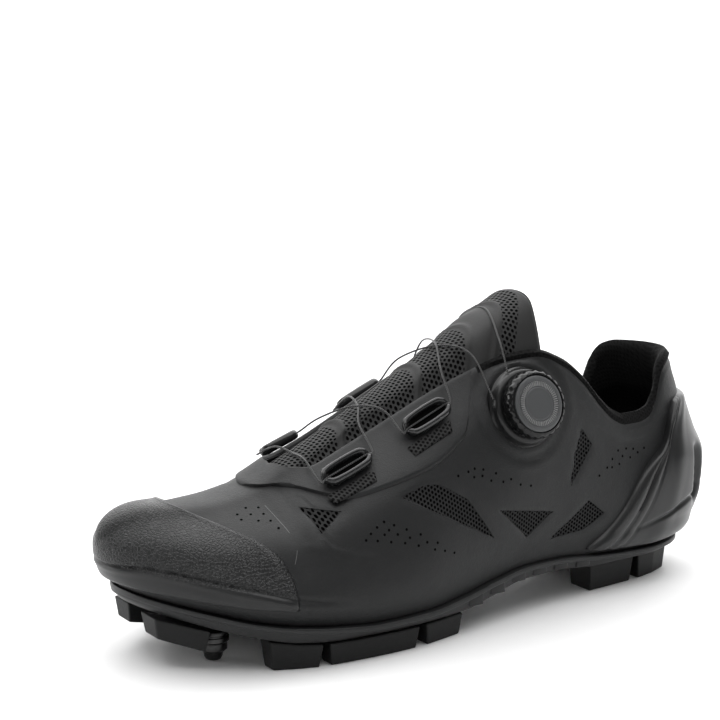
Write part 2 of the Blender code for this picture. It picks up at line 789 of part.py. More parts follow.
def make_side_tabs(tools):
    """The small steps along both sides of the arch."""
    bm = bmesh.new()
    for i in range(TAB_COUNT):
        station = TAB_START + (TAB_END - TAB_START) * i / (TAB_COUNT - 1)
        for side in (1, -1):
            rings = []
            for end in (-0.5, 0.5):
                place = station + end * TAB_LENGTH / LENGTH
                half = half_width(place)
                top, foot = ledge(place) - FLANGE * 0.6, underside(place) + TAB_RISE
                far, near = half - TAB_INSET, half - 2 * FLANGE_INSET - TAB_DEPTH
                corners = ((far, top), (far - TAB_INSET, foot), (near, foot), (near, top))
                rings.append([plan_point(place, side * y / half, z) for y, z in corners])
            loft(bm, rings)
    return cutter(finish(bm, "side_tabs", None, tools))


def make_insole(home, finish_material):
    """The insole, inside the upper's wall and on the sole plate."""
    bm = bmesh.new()
    rings = []
    for i in range(25):
        station = station_of(i / 24)
        lean = LINES[0][2] * HEEL_LEAN * heel_fade(station) + LINES[0][3] * TOE_TUCK * toe_fade(station)
        inset = WALL + 2 * GAP
        x = MIDDLE_X + (station - 0.5) * (LENGTH - 2.6 * inset) + lean
        half = max(0.0, half_width(station) * 0.955 - (inset + GAP) * outline_round(station))
        base, middle = ledge(station) + GAP, centre(station)
        ring = []
        for side in (1, -1):
            corners = [
                (x, middle + side * half, base + INSOLE_THICKNESS),
                (x, middle + side * half, base),
            ]
            ring += corners[::side]
        rings.append(ring)
    loft(bm, rings, caps=False)
    return finish(bm, "insole", finish_material, home)


def make_lugs(home, finish_material):
    """The lugs of both sides, whose tops follow the sole plate and whose feet are flat."""
    for row in LUGS:
        lug = dict(zip(LUG_COLUMNS, row))
        for side, place in ((1, "outer"), (-1, "inner")):
            bm = bmesh.new()
            rings = []
            count = max(2, int(round((lug["end"] - lug["start"]) * LENGTH / 0.010)))
            for i in range(count + 1):
                share = i / count
                station = lug["start"] + (lug["end"] - lug["start"]) * share
                near = lug["inner_start"] + (lug["inner_end"] - lug["inner_start"]) * share
                far = lug["outer_start"] + (lug["outer_end"] - lug["outer_start"]) * share
                top = underside(station) - GAP
                foot = max(0.0, top - lug["hang"])
                pull = (0.5 - share) * 2 * LUG_DRAFT / LENGTH
                half = half_width(station)
                draft = LUG_DRAFT / half
                ring = [
                    plan_point(station, side * far, top),
                    plan_point(station + pull, side * (far - draft), foot),
                    plan_point(station + pull, side * (near + draft), foot),
                    plan_point(station, side * near, top),
                ]
                rings.append(ring)
            loft(bm, rings)
            finish(bm, f"{lug['name']}_{place}", finish_material, home)


def circle(radius, height, points=18, flats=0):
    """A ring of points round the local axis, or one with flat sides."""
    ring = []
    for i in range(points):
        angle = 2 * math.pi * i / points
        reach = radius
        if flats:
            half = math.pi / flats
            reach = radius * math.cos(half) / math.cos(angle % (2 * half) - half)
        ring.append(Vector((reach * math.cos(angle), reach * math.sin(angle), height)))
    return ring


def placed(rings, frame):
    """Rings of points moved into a frame."""
    return [[frame @ point for point in ring] for ring in rings]


def surface_frame(station, v, lift):
    """A frame that stands on the form: X runs towards the toe, Z points outwards."""
    u = u_of(station)
    normal = Vector(last_normal(u, v))
    ahead = Vector(last_point(u_of(station + 0.01), v) - last_point(u_of(station - 0.01), v)).normalized()
    across = normal.cross(ahead).normalized()
    ahead = across.cross(normal)
    rotation = Matrix((ahead, across, normal)).transposed().to_4x4()
    return Matrix.Translation(skin(u, v, lift)) @ rotation


def make_studs(home, finish_material):
    """The two toe studs: a washer and a spike that narrows to a blunt tip."""
    station = STUD_PLACE
    for side, name in ((1, "toe_stud_outer"), (-1, "toe_stud_inner")):
        x, y, top = plan_point(station, side * STUD_SPREAD, underside(station - 0.02) - 2 * GAP)
        bm = bmesh.new()
        rings = [
            circle(STUD_RADIUS, top),
            circle(STUD_RADIUS, top - STUD_HEIGHT * 0.35),
            circle(STUD_RADIUS * 0.90, top - STUD_HEIGHT * 0.42),
            circle(STUD_RADIUS * 0.86, top - STUD_HEIGHT * 0.66),
            circle(STUD_RADIUS * 0.62, top - STUD_HEIGHT * 0.74),
            circle(STUD_RADIUS * 0.45, top - STUD_HEIGHT),
        ]
        loft(bm, placed(rings, Matrix.Translation((x, y, 0))))
        finish(bm, name, finish_material, home)


def oval(length, width, height, points=32, power=2.6):
    """A rounded oval ring."""
    ring = []
    for i in range(points):
        angle = 2 * math.pi * i / points
        c, s = math.cos(angle), math.sin(angle)
        a = math.copysign(abs(c) ** (2 / power), c) * length / 2
        b = math.copysign(abs(s) ** (2 / power), s) * width / 2
        ring.append(Vector((a, b, height)))
    return ring


def stadium(length, width, height, points=5):
    """A ring with straight sides and half round ends."""
    ring, radius = [], width / 2
    for end, start in ((1, -90), (-1, 90)):
        for i in range(points + 1):
            angle = math.radians(start + 180 * i / points)
            offset = end * (length / 2 - radius)
            ring.append(Vector((offset + radius * math.cos(angle), radius * math.sin(angle), height)))
    return ring


def make_cleat_plate(home, tools, plate_material, bolt_material):
    """The plate under the ball with its two slots, and the four bolts that stand in them."""
    x, y, top = plan_point(PLATE_PLACE, 0.0, underside(PLATE_PLACE) - GAP)
    place = Matrix.Translation((x, y, top))
    bm = bmesh.new()
    loft(bm, placed([oval(PLATE_LENGTH, PLATE_WIDTH, 0), oval(PLATE_LENGTH, PLATE_WIDTH, -PLATE_THICKNESS)], place))
    plate = finish(bm, "cleat_plate", plate_material, home)
    bm = bmesh.new()
    for side in (1, -1):
        slot = place @ Matrix.Translation((0, side * BOLT_SPREAD, 0))
        rings = [stadium(SLOT_LENGTH, SLOT_WIDTH, 0.001), stadium(SLOT_LENGTH, SLOT_WIDTH, -0.004)]
        loft(bm, placed(rings, slot))
    cut(plate, cutter(finish(bm, "cleat_slots", None, tools)))
    for side, side_name in ((1, "outer"), (-1, "inner")):
        for end, end_name in ((1, "front"), (-1, "rear")):
            bolt = place @ Matrix.Translation((end * BOLT_PITCH / 2, side * BOLT_SPREAD, -PLATE_THICKNESS))
            bm = bmesh.new()
            rings = [
                circle(SHANK_RADIUS, PLATE_THICKNESS - GAP, 12),
                circle(SHANK_RADIUS, -GAP, 12),
                circle(BOLT_RADIUS, -GAP, 12),
                circle(BOLT_RADIUS, -GAP - BOLT_HEAD * 0.7, 12),
                circle(BOLT_RADIUS * 0.88, -GAP - BOLT_HEAD, 12),
                circle(SOCKET_RADIUS, -GAP - BOLT_HEAD, 12, flats=6),
                circle(SOCKET_RADIUS, -GAP - BOLT_HEAD + SOCKET_DEPTH, 12, flats=6),
            ]
            loft(bm, placed(rings, bolt))
            finish(bm, f"cleat_bolt_{side_name}_{end_name}", bolt_material, home)


def make_dial(home, tools, base_material, knob_material, cap_material):
    """The dial on the outer quarter: a base that fits the shoe's form, a ribbed knob and a cap."""
    v = v_at(DIAL_PLACE, DIAL_HEIGHT, 1)
    frame = surface_frame(DIAL_PLACE, v, 0)
    bm = bmesh.new()
    rings = [
        circle(DIAL_BASE_RADIUS, -0.006),
        circle(DIAL_BASE_RADIUS, DIAL_BASE_HEIGHT * 0.6),
        circle(DIAL_RADIUS, DIAL_BASE_HEIGHT),
    ]
    loft(bm, placed(rings, frame))
    base = finish(bm, "dial_base", base_material, home)
    bm = bmesh.new()
    centre_u = u_of(DIAL_PLACE)
    grid(bm, 10, 10, lambda a, b: (centre_u + (a - 0.5) * 0.11, v + (b - 0.5) * 0.34))
    thicken(bm, lambda u, w: skin(u, w, GAP), lambda u, w: skin(u, w, -0.012))
    cut(base, cutter(finish(bm, "dial_seat", None, tools)))
    bm = bmesh.new()
    foot = DIAL_BASE_HEIGHT + GAP
    rings = [
        circle(DIAL_RADIUS, foot, 30),
        circle(DIAL_RADIUS, foot + KNOB_HEIGHT * 0.85, 30),
        circle(DIAL_RADIUS - 0.001, foot + KNOB_HEIGHT, 30),
        circle(CAP_RADIUS + GAP, foot + KNOB_HEIGHT, 30),
        circle(CAP_RADIUS + GAP, foot + KNOB_HEIGHT - CAP_HEIGHT, 30),
    ]
    loft(bm, placed(rings, frame))
    finish(bm, "dial_knob", knob_material, home)
    bm = bmesh.new()
    foot += KNOB_HEIGHT - CAP_HEIGHT + GAP
    rings = [
        circle(CAP_RADIUS, foot, 30),
        circle(CAP_RADIUS, foot + CAP_HEIGHT, 30),
        circle(CAP_RADIUS * 0.7, foot + CAP_HEIGHT * 1.35, 30),
    ]
    loft(bm, placed(rings, frame))
    finish(bm, "dial_cap", cap_material, home)


def make_guides(home, tools, finish_material):
    """The wire guides: flat loops on the eyestay, with a channel for the wire through both ends."""
    for name, station, v, long, seat, _ in GUIDES:
        length = GUIDE_LENGTH * long
        bars = [
            (length, GUIDE_WIDTH, 0),
            (length, GUIDE_WIDTH, GUIDE_HEIGHT * 0.7),
            (length - 0.001, GUIDE_WIDTH - 0.001, GUIDE_HEIGHT),
            (length - 2 * GUIDE_BAR, GUIDE_WIDTH - 2 * GUIDE_BAR, GUIDE_HEIGHT),
            (length - 2 * GUIDE_BAR, GUIDE_WIDTH - 2 * GUIDE_BAR, 0),
        ]
        frame = surface_frame(station, v, GUIDE_SEATS[seat])
        bm = bmesh.new()
        loft(bm, placed([stadium(*bar) for bar in bars], frame), closed=True)
        guide = finish(bm, name, finish_material, home)
        bm = bmesh.new()
        low, high = WIRE_LEVEL - WIRE_CHANNEL / 2, GUIDE_HEIGHT + 0.001
        rings = []
        for x in (-length, length):
            corners = ((-1, low), (1, low), (1, high), (-1, high))
            rings.append([Vector((x, y * WIRE_CHANNEL / 2, z)) for y, z in corners])
        loft(bm, placed(rings, frame))
        cut(guide, cutter(finish(bm, f"{name}_channel", None, tools)))


def curve_through(points, steps):
    """A smooth curve through points."""
    ends = [2 * points[0] - points[1]] + points + [2 * points[-1] - points[-2]]
    curve = []
    for i in range(1, len(ends) - 2):
        before, start, end, after = ends[i - 1 : i + 3]
        for step in range(steps):
            t = step / steps
            straight = 2 * start + (end - before) * t
            bend = (2 * before - 5 * start + 4 * end - after) * t * t
            twist = (3 * start - before - 3 * end + after) * t * t * t
            curve.append((straight + bend + twist) / 2)
    curve.append(points[-1])
    return curve


def tube(bm, path, radius, sides=6):
    """A round bar along a path."""
    rings = []
    normal = (path[1] - path[0]).orthogonal().normalized()
    for i, point in enumerate(path):
        ahead = (path[min(i + 1, len(path) - 1)] - path[max(i - 1, 0)]).normalized()
        normal = (normal - ahead * normal.dot(ahead)).normalized()
        other = ahead.cross(normal)
        angles = [2 * math.pi * j / sides for j in range(sides)]
        rings.append([point + (normal * math.cos(a) + other * math.sin(a)) * radius for a in angles])
    loft(bm, rings)


def through_guide(row):
    """Points of the wire in a guide, the way that it runs through it."""
    _, station, v, long, seat, way = row
    frame = surface_frame(station, v, GUIDE_SEATS[seat])
    half = GUIDE_LENGTH * long / 2
    ends = (-half - WIRE_CHANNEL / 2, GUIDE_BAR - half, half - GUIDE_BAR, half + WIRE_CHANNEL / 2)
    points = [frame @ Vector((x, 0, WIRE_LEVEL)) for x in ends]
    return points[::way]


def over_tongue(start, end, side, lift=0.0):
    """Points of the wire over the throat, from one side of the shoe to the other."""
    points = []
    heights = (WIRE_OVER_EDGE, WIRE_OVER_TONGUE + lift, WIRE_OVER_EDGE)
    for share, height in zip((0.12, 0.5, 0.88), heights):
        v = side * (0.5 - share) * 0.42
        points.append(skin(u_of(start + (end - start) * share), v, height))
    return points


def make_wire(home, finish_material):
    """The lace wire: from the dial down through the guides and back, with two crossings over the tongue."""
    dial = surface_frame(DIAL_PLACE, v_at(DIAL_PLACE, DIAL_HEIGHT, 1), 0)
    reach = DIAL_BASE_RADIUS + 2 * GAP
    path = [dial @ Vector((reach * 0.30, -reach * 0.96, WIRE_OVER_EDGE))]
    side, last = 1, DIAL_PLACE + WIRE_FROM_DIAL
    for i, row in enumerate(GUIDES):
        half = GUIDE_LENGTH * row[3] / LENGTH / 2
        path += over_tongue(last, row[1] - half * row[5], side, WIRE_CROSSING if i in (1, 2) else 0)
        path += through_guide(row)
        side, last = -side, row[1] + half * row[5]
    path += over_tongue(last, DIAL_PLACE + WIRE_TO_DIAL, side)
    path.append(dial @ Vector((reach * 0.93, -reach * 0.40, WIRE_OVER_EDGE)))
    bm = bmesh.new()
    tube(bm, curve_through(path, 3), WIRE_RADIUS)
    finish(bm, "lace_wire", finish_material, home)


def clear_scene():
    """Removes the objects that a new file holds."""
    for obj in list(bpy.data.objects):
        bpy.data.objects.remove(obj)


def main():
    """Builds the shoe."""
    clear_scene()
    shoe, tools = collection("cycling_shoe"), collection("tools")
    leather = material("microfibre", (0.035, 0.035, 0.04), 0.55)
    padding = material("padding", (0.03, 0.03, 0.032), 0.8)
    gloss = material("gloss", (0.02, 0.02, 0.022), 0.25)
    plate = material("nylon_plate", (0.02, 0.02, 0.022), 0.35)
    rubber = material("rubber", (0.025, 0.025, 0.025), 0.7)
    metal = material("dark_metal", (0.2, 0.2, 0.2), 0.35, 1.0)
    upper = make_upper(shoe, leather)
    cut(upper, make_windows(tools))
    make_toe_cap(shoe, leather)
    make_counter(shoe, gloss)
    make_eyestay(shoe, leather)
    make_tongue(shoe, padding)
    make_insole(shoe, padding)
    make_sole(shoe, tools, plate)
    make_lugs(shoe, rubber)
    make_studs(shoe, metal)
    make_cleat_plate(shoe, tools, plate, metal)
    make_dial(shoe, tools, plate, gloss, metal)
    make_guides(shoe, tools, gloss)
    make_wire(shoe, metal)


main()
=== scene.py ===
"""Looks of the off-road cycling shoe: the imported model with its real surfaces, finishes, floor and light.

The shoe's form is the one of the solids. Form.point(u, v) gives a point of it: u runs from the heel seam (0)
to the toe tip (1), and v across the shoe, from the outer feather edge (1) over the ridge (0) to the inner one
(-1).
"""

from __future__ import annotations

import logging
import math
from collections.abc import Callable, Sequence
from dataclasses import dataclass, field
from enum import Enum
from functools import cached_property

import bmesh
import bpy
import numpy as np
from mathutils import Matrix, Vector


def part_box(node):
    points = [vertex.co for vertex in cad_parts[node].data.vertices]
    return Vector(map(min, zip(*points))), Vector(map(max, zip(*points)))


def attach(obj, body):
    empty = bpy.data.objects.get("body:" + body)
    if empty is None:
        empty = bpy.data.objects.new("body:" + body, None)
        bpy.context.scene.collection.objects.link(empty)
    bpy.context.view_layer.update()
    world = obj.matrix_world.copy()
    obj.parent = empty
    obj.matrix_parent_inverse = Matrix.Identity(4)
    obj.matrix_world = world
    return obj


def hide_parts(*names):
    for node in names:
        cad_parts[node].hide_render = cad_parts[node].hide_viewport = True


LOG = logging.getLogger("cycling_shoe")
FULL_TURN = {"axis": (0, 0, 1), "cent": (0, 0, 0), "angle": 2 * math.pi}
# How strongly the tongue's cross lines bow, per metre
TONGUE_BOW = 28.0
Place = Callable[[float, float], tuple[float, float]]
Rows = tuple[tuple[float, ...], ...]
# A guide: name, station, v, share of the full length, height above the form and the wire's way through it
GuideRow = tuple[str, float, float, float, float, int]


class Side(Enum):
    """The two sides of the shoe."""

    OUTER = 1
    INNER = -1


class Slot(Enum):
    """Kinds of material slot."""

    UPPER = "upper"
    TOE_CAP = "toe_cap"
    COUNTER = "counter"
    PADDING = "padding"
    SOLE = "sole"
    RUBBER = "rubber"
    STEEL = "steel"
    DIAL = "dial"
    DIAL_CAP = "dial_cap"
    GUIDES = "guides"
    WIRE = "wire"


def clamp(value: float, low: float = 0.0, high: float = 1.0) -> float:
    """The value, kept between low and high."""
    return min(high, max(low, value))


def smooth(value: float) -> float:
    """A soft step from 0 to 1 as the value goes from 0 to 1."""
    share = clamp(value)
    return share * share * (3 - 2 * share)


def bump(value: float, middle: float, reach: float) -> float:
    """A soft hump of height 1 round middle, which ends at reach from it."""
    share = clamp(1 - abs(value - middle) / reach)
    return share * share * (3 - 2 * share)


def ease(distance: float, reach: float) -> float:
    """A quarter ellipse: 0 at distance 0, and 1 from reach on."""
    return math.sqrt(max(0.0, 1 - (1 - clamp(distance / reach)) ** 2))


def arc(share: float) -> float:
    """A quarter circle: 0 at 0, and level at 1."""
    return math.sqrt(share * (2 - share))


class Table:
    """Rows of a station and its values, read as smooth curves that pass through every row."""

    def __init__(self, *rows: Sequence[float]) -> None:
        """Takes the rows, each a station and one or more values."""
        values = np.array(rows, float)
        self.stations = values[:, 0]
        self.values = values[:, 1:]

    def read(self, station: float, column: int = 0) -> float:
        """The column's value at a station."""
        return float(self.read_all(np.array([station]), column)[0])

    def read_all(self, stations: np.ndarray, column: int = 0) -> np.ndarray:
        """The column's values at many stations.

        Args:
            stations: Where to read, held between the first and the last row.
            column: Which value of the rows.

        Returns:
            The values.
        """
        x, y = self.stations, self.values[:, column]
        stations = np.clip(stations, x[0], x[-1])
        i = np.clip(np.searchsorted(x, stations) - 1, 0, len(x) - 2)
        step = x[i + 1] - x[i]
        t = (stations - x[i]) / step
        slopes = self.slopes(y)
        start, end = slopes[i] * step, slopes[i + 1] * step
        share = t * t * (3 - 2 * t)
        return y[i] * (1 - share) + y[i + 1] * share + start * t * (1 - t) ** 2 + end * t * t * (t - 1)

    def slopes(self, y: np.ndarray) -> np.ndarray:
        """The curve's slope at each row, which never overshoots a peak.

        Args:
            y: The column's values at the rows.

        Returns:
            The slopes.
        """
        chords = np.diff(y) / np.diff(self.stations)
        before, after = chords[:-1], chords[1:]
        total = before + after
        even = np.where(np.abs(total) > 1e-12, total, 1.0)
        middle = np.where(before * after > 0, 2 * before * after / even, 0.0)
        return np.concatenate([[chords[0]], middle, [chords[-1]]])


def table(*rows: Sequence[float]) -> Table:
    """A dataclass field with a table of these rows."""
    return field(default_factory=lambda: Table(*rows))


def ease_all(distance: np.ndarray, reach: float) -> np.ndarray:
    """The quarter ellipse of ease() for many distances."""
    return np.sqrt(np.maximum(0.0, 1 - (1 - np.clip(distance / reach, 0, 1)) ** 2))


@dataclass
class Form:
    """The shoe's outer form, worked out from its sizes as in the solids."""

    length: float = 0.288
    ball_width: float = 0.098
    ledge_height: float = 0.0145
    toe_spring: float = 0.0156
    instep_height: float = 0.1125
    nose_height: float = 0.046
    heel_lean: float = 0.008
    toe_tuck: float = 0.0075
    heel_round: float = 0.038
    toe_round: float = 0.068
    toe_dome: float = 0.020
    toe_blunt: float = 0.25
    middle_x: float = 0.0054
    middle_y: float = 0.0020
    gap: float = 0.0003
    wall: float = 0.0020
    collar_pad: float = 0.0040
    collar_depth: float = 0.30
    throat_line: float = 0.2
    throat_front: float = 0.745
    throat_bend: float = 0.045
    crown_width: float = 0.60
    crown_height: float = 0.80
    knots: tuple[float, ...] = (1.0, 0.8, 0.6, 0.4, 0.2, 0.1, 0.0, -0.1, -0.2, -0.4, -0.6, -0.8, -1.0)
    lengths: np.ndarray = field(default_factory=lambda: np.zeros((0, 0)))

    # Station, then the ledge's centre and half width, its lift and the underside's height
    plan: Table = table(
        (0.000, 0.000, 0.300, 0.154, 0.860),
        (0.139, 0.005, 0.312, 0.154, 0.860),
        (0.222, 0.008, 0.324, 0.225, 0.860),
        (0.312, 0.022, 0.330, 0.380, 1.000),
        (0.385, 0.040, 0.347, 0.427, 1.020),
        (0.451, 0.050, 0.378, 0.308, 0.820),
        (0.514, 0.050, 0.418, 0.130, 0.650),
        (0.590, 0.046, 0.465, 0.012, 0.650),
        (0.670, 0.032, 0.492, 0.000, 0.650),
        (0.729, 0.020, 0.496, 0.083, 0.650),
        (0.792, 0.008, 0.480, 0.213, 0.730),
        (0.851, -0.003, 0.456, 0.390, 0.950),
        (0.906, -0.010, 0.428, 0.630, 1.220),
        (0.955, -0.022, 0.406, 0.830, 1.470),
        (1.000, -0.036, 0.390, 1.000, 1.680),
    )
    # Station, then the top edge's and the ridge's height, and the ridge's centre
    top: Table = table(
        (0.000, 0.915, 1.330, 0.000),
        (0.035, 0.915, 1.330, 0.000),
        (0.060, 0.900, 1.330, 0.000),
        (0.078, 0.860, 1.330, 0.000),
        (0.094, 0.765, 1.330, 0.000),
        (0.112, 0.716, 1.325, 0.000),
        (0.140, 0.702, 1.320, 0.004),
        (0.170, 0.703, 1.315, 0.008),
        (0.200, 0.730, 1.305, 0.010),
        (0.230, 0.790, 1.295, 0.014),
        (0.265, 0.884, 1.280, 0.018),
        (0.305, 0.960, 1.250, 0.022),
        (0.350, 1.000, 1.190, 0.024),
        (0.400, 0.985, 1.120, 0.026),
        (0.451, 0.938, 1.046, 0.026),
        (0.514, 0.872, 0.955, 0.028),
        (0.590, 0.780, 0.852, 0.030),
        (0.670, 0.684, 0.740, 0.026),
        (0.729, 0.618, 0.660, 0.016),
        (0.792, 0.548, 0.574, 0.000),
        (0.851, 0.518, 0.545, -0.014),
        (0.906, 0.505, 0.540, -0.022),
        (0.955, 0.505, 0.544, -0.032),
        (1.000, 0.502, 0.548, -0.040),
    )
    # Station, then the side's shares of the half width: feather edge, low, mid, high and top edge
    side: Table = table(
        (0.000, 0.955, 1.030, 1.040, 0.940, 0.860),
        (0.139, 0.955, 1.040, 1.050, 0.950, 0.880),
        (0.222, 0.955, 1.050, 1.060, 0.980, 0.920),
        (0.312, 0.955, 1.070, 1.090, 1.010, 0.850),
        (0.385, 0.955, 1.070, 1.080, 0.940, 0.680),
        (0.451, 0.955, 1.060, 1.040, 0.870, 0.510),
        (0.514, 0.955, 1.050, 1.000, 0.820, 0.400),
        (0.590, 0.960, 1.045, 0.985, 0.790, 0.320),
        (0.670, 0.960, 1.040, 0.965, 0.770, 0.280),
        (0.792, 0.960, 1.040, 0.965, 0.780, 0.320),
        (0.906, 0.960, 1.045, 0.980, 0.800, 0.400),
        (1.000, 0.960, 1.010, 0.975, 0.800, 0.440),
    )
    # Station, then the v of the crease above the rand
    rand: Table = table(
        (0.700, 0.830), (0.797, 0.750), (0.846, 0.689), (0.913, 0.629), (0.964, 0.592), (1.000, 0.620)
    )
    # Height between the ledge and the top edge, share of the ridge's centre, lean at the heel and at the toe
    lines: Rows = (
        (0.00, 0.00, 0.35, -1.0),
        (0.20, 0.10, 0.00, -0.4),
        (0.46, 0.35, -0.25, -0.1),
        (0.76, 0.70, 0.20, 0.0),
        (1.00, 1.00, 1.00, 0.0),
    )

    def station(self, u: float) -> float:
        """The share of the length at u."""
        return (1 - math.cos(math.pi * u)) / 2

    def u_of(self, station: float) -> float:
        """The u of a share of the length."""
        return math.acos(1 - 2 * clamp(station)) / math.pi

    def outline_round(self, station: float) -> float:
        """How far the outline has opened at a station."""
        heel = ease(station * self.length, self.heel_round)
        return heel * ease((1 - station) * self.length, self.toe_round)

    def half_width(self, station: float) -> float:
        """Half the ledge's width."""
        return self.plan.read(station, 1) * self.ball_width * self.outline_round(station)

    def centre(self, station: float) -> float:
        """The sideways place of the ledge's middle."""
        return self.plan.read(station, 0) * self.ball_width - self.middle_y

    def ledge(self, station: float) -> float:
        """The height of the sole's ledge."""
        return self.ledge_height + self.plan.read(station, 2) * self.toe_spring

    def underside(self, station: float) -> float:
        """The height of the sole plate's underside."""
        return self.plan.read(station, 3) * self.ledge_height

    def x(self, station: float) -> float:
        """The place along the shoe of a station."""
        return self.middle_x + (station - 0.5) * self.length

    def lean(self, station: float, line: int) -> float:
        """How far a line of the upper leans at a station.

        Args:
            station: The share of the length.
            line: Which row of lines.

        Returns:
            The distance along the shoe.
        """
        heel = max(0.0, 1 - station * self.length / (2 * self.heel_round)) ** 2
        toe = max(0.0, 1 - (1 - station) * self.length / self.toe_round) ** 2
        return self.lines[line][2] * self.heel_lean * heel + self.lines[line][3] * self.toe_tuck * toe

    def domed(self, heights: np.ndarray, stations: np.ndarray) -> np.ndarray:
        """Heights over the toe, which drop to the nose as the section closes.

        Args:
            heights: The heights without the drop.
            stations: Where they are.

        Returns:
            The heights.
        """
        share = self.toe_blunt + (1 - self.toe_blunt) * ease_all((1 - stations) * self.length, self.toe_dome)
        lowered = self.nose_height + (heights - self.nose_height) * share
        return np.where(heights <= self.nose_height, heights, lowered)

    def sections(self, u: np.ndarray) -> np.ndarray:
        """The sections' points at many u, from the outer feather edge over the ridge to the inner one.

        Args:
            u: Where the sections are.

        Returns:
            The points by section, knot and coordinate.
        """
        s = (1 - np.cos(np.pi * u)) / 2
        opened = ease_all(s * self.length, self.heel_round) * ease_all((1 - s) * self.length, self.toe_round)
        half = self.plan.read_all(s, 1) * self.ball_width * opened
        base = self.ledge_height + self.plan.read_all(s, 2) * self.toe_spring + self.gap
        low_centre = self.plan.read_all(s, 0) * self.ball_width - self.middle_y
        top_centre = self.top.read_all(s, 2) * self.ball_width - self.middle_y
        edge_height = self.top.read_all(s, 0) * self.instep_height
        along = self.middle_x + (s - 0.5) * self.length
        heel = np.maximum(0.0, 1 - s * self.length / (2 * self.heel_round)) ** 2 * self.heel_lean
        toe = np.maximum(0.0, 1 - (1 - s) * self.length / self.toe_round) ** 2 * self.toe_tuck
        ridge_height = self.domed(self.top.read_all(s, 1) * self.instep_height, s)
        ridge = np.stack([along + heel, top_centre, ridge_height], 1)
        columns: dict[int, np.ndarray] = {6: ridge}
        for side, first, step in ((1, 0, 1), (-1, 12, -1)):
            for i, (rise, centring, heel_share, toe_share) in enumerate(self.lines):
                middle = low_centre * (1 - centring) + top_centre * centring
                x = along + heel_share * heel + toe_share * toe
                y = middle + side * half * self.side.read_all(s, i)
                z = self.domed(base + rise * (edge_height - base), s)
                columns[first + step * i] = np.stack([x, y, z], 1)
            edge = columns[first + step * 4]
            y = ridge[:, 1] + (edge[:, 1] - ridge[:, 1]) * self.crown_width
            z = edge[:, 2] + (ridge[:, 2] - edge[:, 2]) * self.crown_height
            columns[first + step * 5] = np.stack([ridge[:, 0], y, z], 1)
        return np.stack([columns[i] for i in range(13)], 1)

    def points(self, u: np.ndarray, v: np.ndarray) -> np.ndarray:
        """The form's points at many u, v.

        Args:
            u: From heel to toe.
            v: Across the shoe.

        Returns:
            The points, one a row.
        """
        section = self.sections(u)
        knots = np.array(self.knots)
        i = np.clip(np.searchsorted(-knots, -v, side="left") - 1, 0, len(knots) - 2)
        rows = np.arange(len(u))
        step = (knots[i + 1] - knots[i])[:, None]
        t = (v[:, None] - knots[i][:, None]) / step
        start, end = (self.change(section, rows, j, knots) * step for j in (i, i + 1))
        share = t * t * (3 - 2 * t)
        here, there = section[rows, i], section[rows, i + 1]
        return here * (1 - share) + there * share + start * t * (1 - t) ** 2 + end * t * t * (t - 1)

    @staticmethod
    def change(section: np.ndarray, rows: np.ndarray, i: np.ndarray, knots: np.ndarray) -> np.ndarray:
        """How the sections' points change with v at their knots i."""
        first, last = np.maximum(i - 1, 0), np.minimum(i + 1, len(knots) - 1)
        return (section[rows, last] - section[rows, first]) / (knots[last] - knots[first])[:, None]

    def normals(self, u: np.ndarray, v: np.ndarray) -> np.ndarray:
        """The outward directions of the form, which both sides share on the seams at heel and toe.

        Args:
            u: From heel to toe.
            v: Across the shoe.

        Returns:
            Unit vectors, one a row.
        """
        step = 1e-3
        along = self.points(np.minimum(1.0, u + step), v) - self.points(np.maximum(0.0, u - step), v)
        across = self.points(u, np.minimum(1.0, v + step)) - self.points(u, np.maximum(-1.0, v - step))
        normals = np.cross(along, across)
        near, far = np.maximum(0.0, np.abs(v) - step), np.minimum(1.0, np.abs(v) + step)
        down = self.points(u, far) - self.points(u, near)
        way = np.where(u > 0.5, 1.0, -1.0)
        on_seam = (u < 1e-6) | (u > 1 - 1e-6)
        shared = np.stack([-down[:, 2] * way, np.zeros(len(u)), down[:, 0] * way], 1)
        normals[on_seam] = shared[on_seam]
        return normals / np.maximum(1e-12, np.linalg.norm(normals, axis=1))[:, None]

    def point(self, u: float, v: float) -> np.ndarray:
        """The point of the form at u, v."""
        return self.points(np.array([u]), np.array([v]))[0]

    def normal(self, u: float, v: float) -> np.ndarray:
        """The outward direction of the form at u, v."""
        return self.normals(np.array([u]), np.array([v]))[0]

    def skin(self, u: float, v: float, offset: float) -> Vector:
        """The point at an offset outside the form."""
        return Vector(self.point(u, v) + self.normal(u, v) * offset)

    def girths(self, u: np.ndarray, v: np.ndarray) -> np.ndarray:
        """The lengths over the sections from the outer feather edge to v, read from a table made once.

        Args:
            u: From heel to toe.
            v: Across the shoe.

        Returns:
            The lengths in metres.
        """
        if not len(self.lengths):
            us, vs = np.meshgrid(np.linspace(0, 1, 161), np.linspace(1, -1, 65), indexing="ij")
            points = self.points(us.ravel(), vs.ravel()).reshape(161, 65, 3)
            steps = np.linalg.norm(np.diff(points, axis=1), axis=2)
            self.lengths = np.concatenate([np.zeros((161, 1)), np.cumsum(steps, axis=1)], axis=1)
        a, b = np.clip(u, 0, 1) * 160, (1 - v) * 32
        i, j = np.clip(a.astype(int), 0, 159), np.clip(b.astype(int), 0, 63)
        a, b = a - i, b - j
        near = self.lengths[i, j] * (1 - b) + self.lengths[i, j + 1] * b
        far = self.lengths[i + 1, j] * (1 - b) + self.lengths[i + 1, j + 1] * b
        return near * (1 - a) + far * a

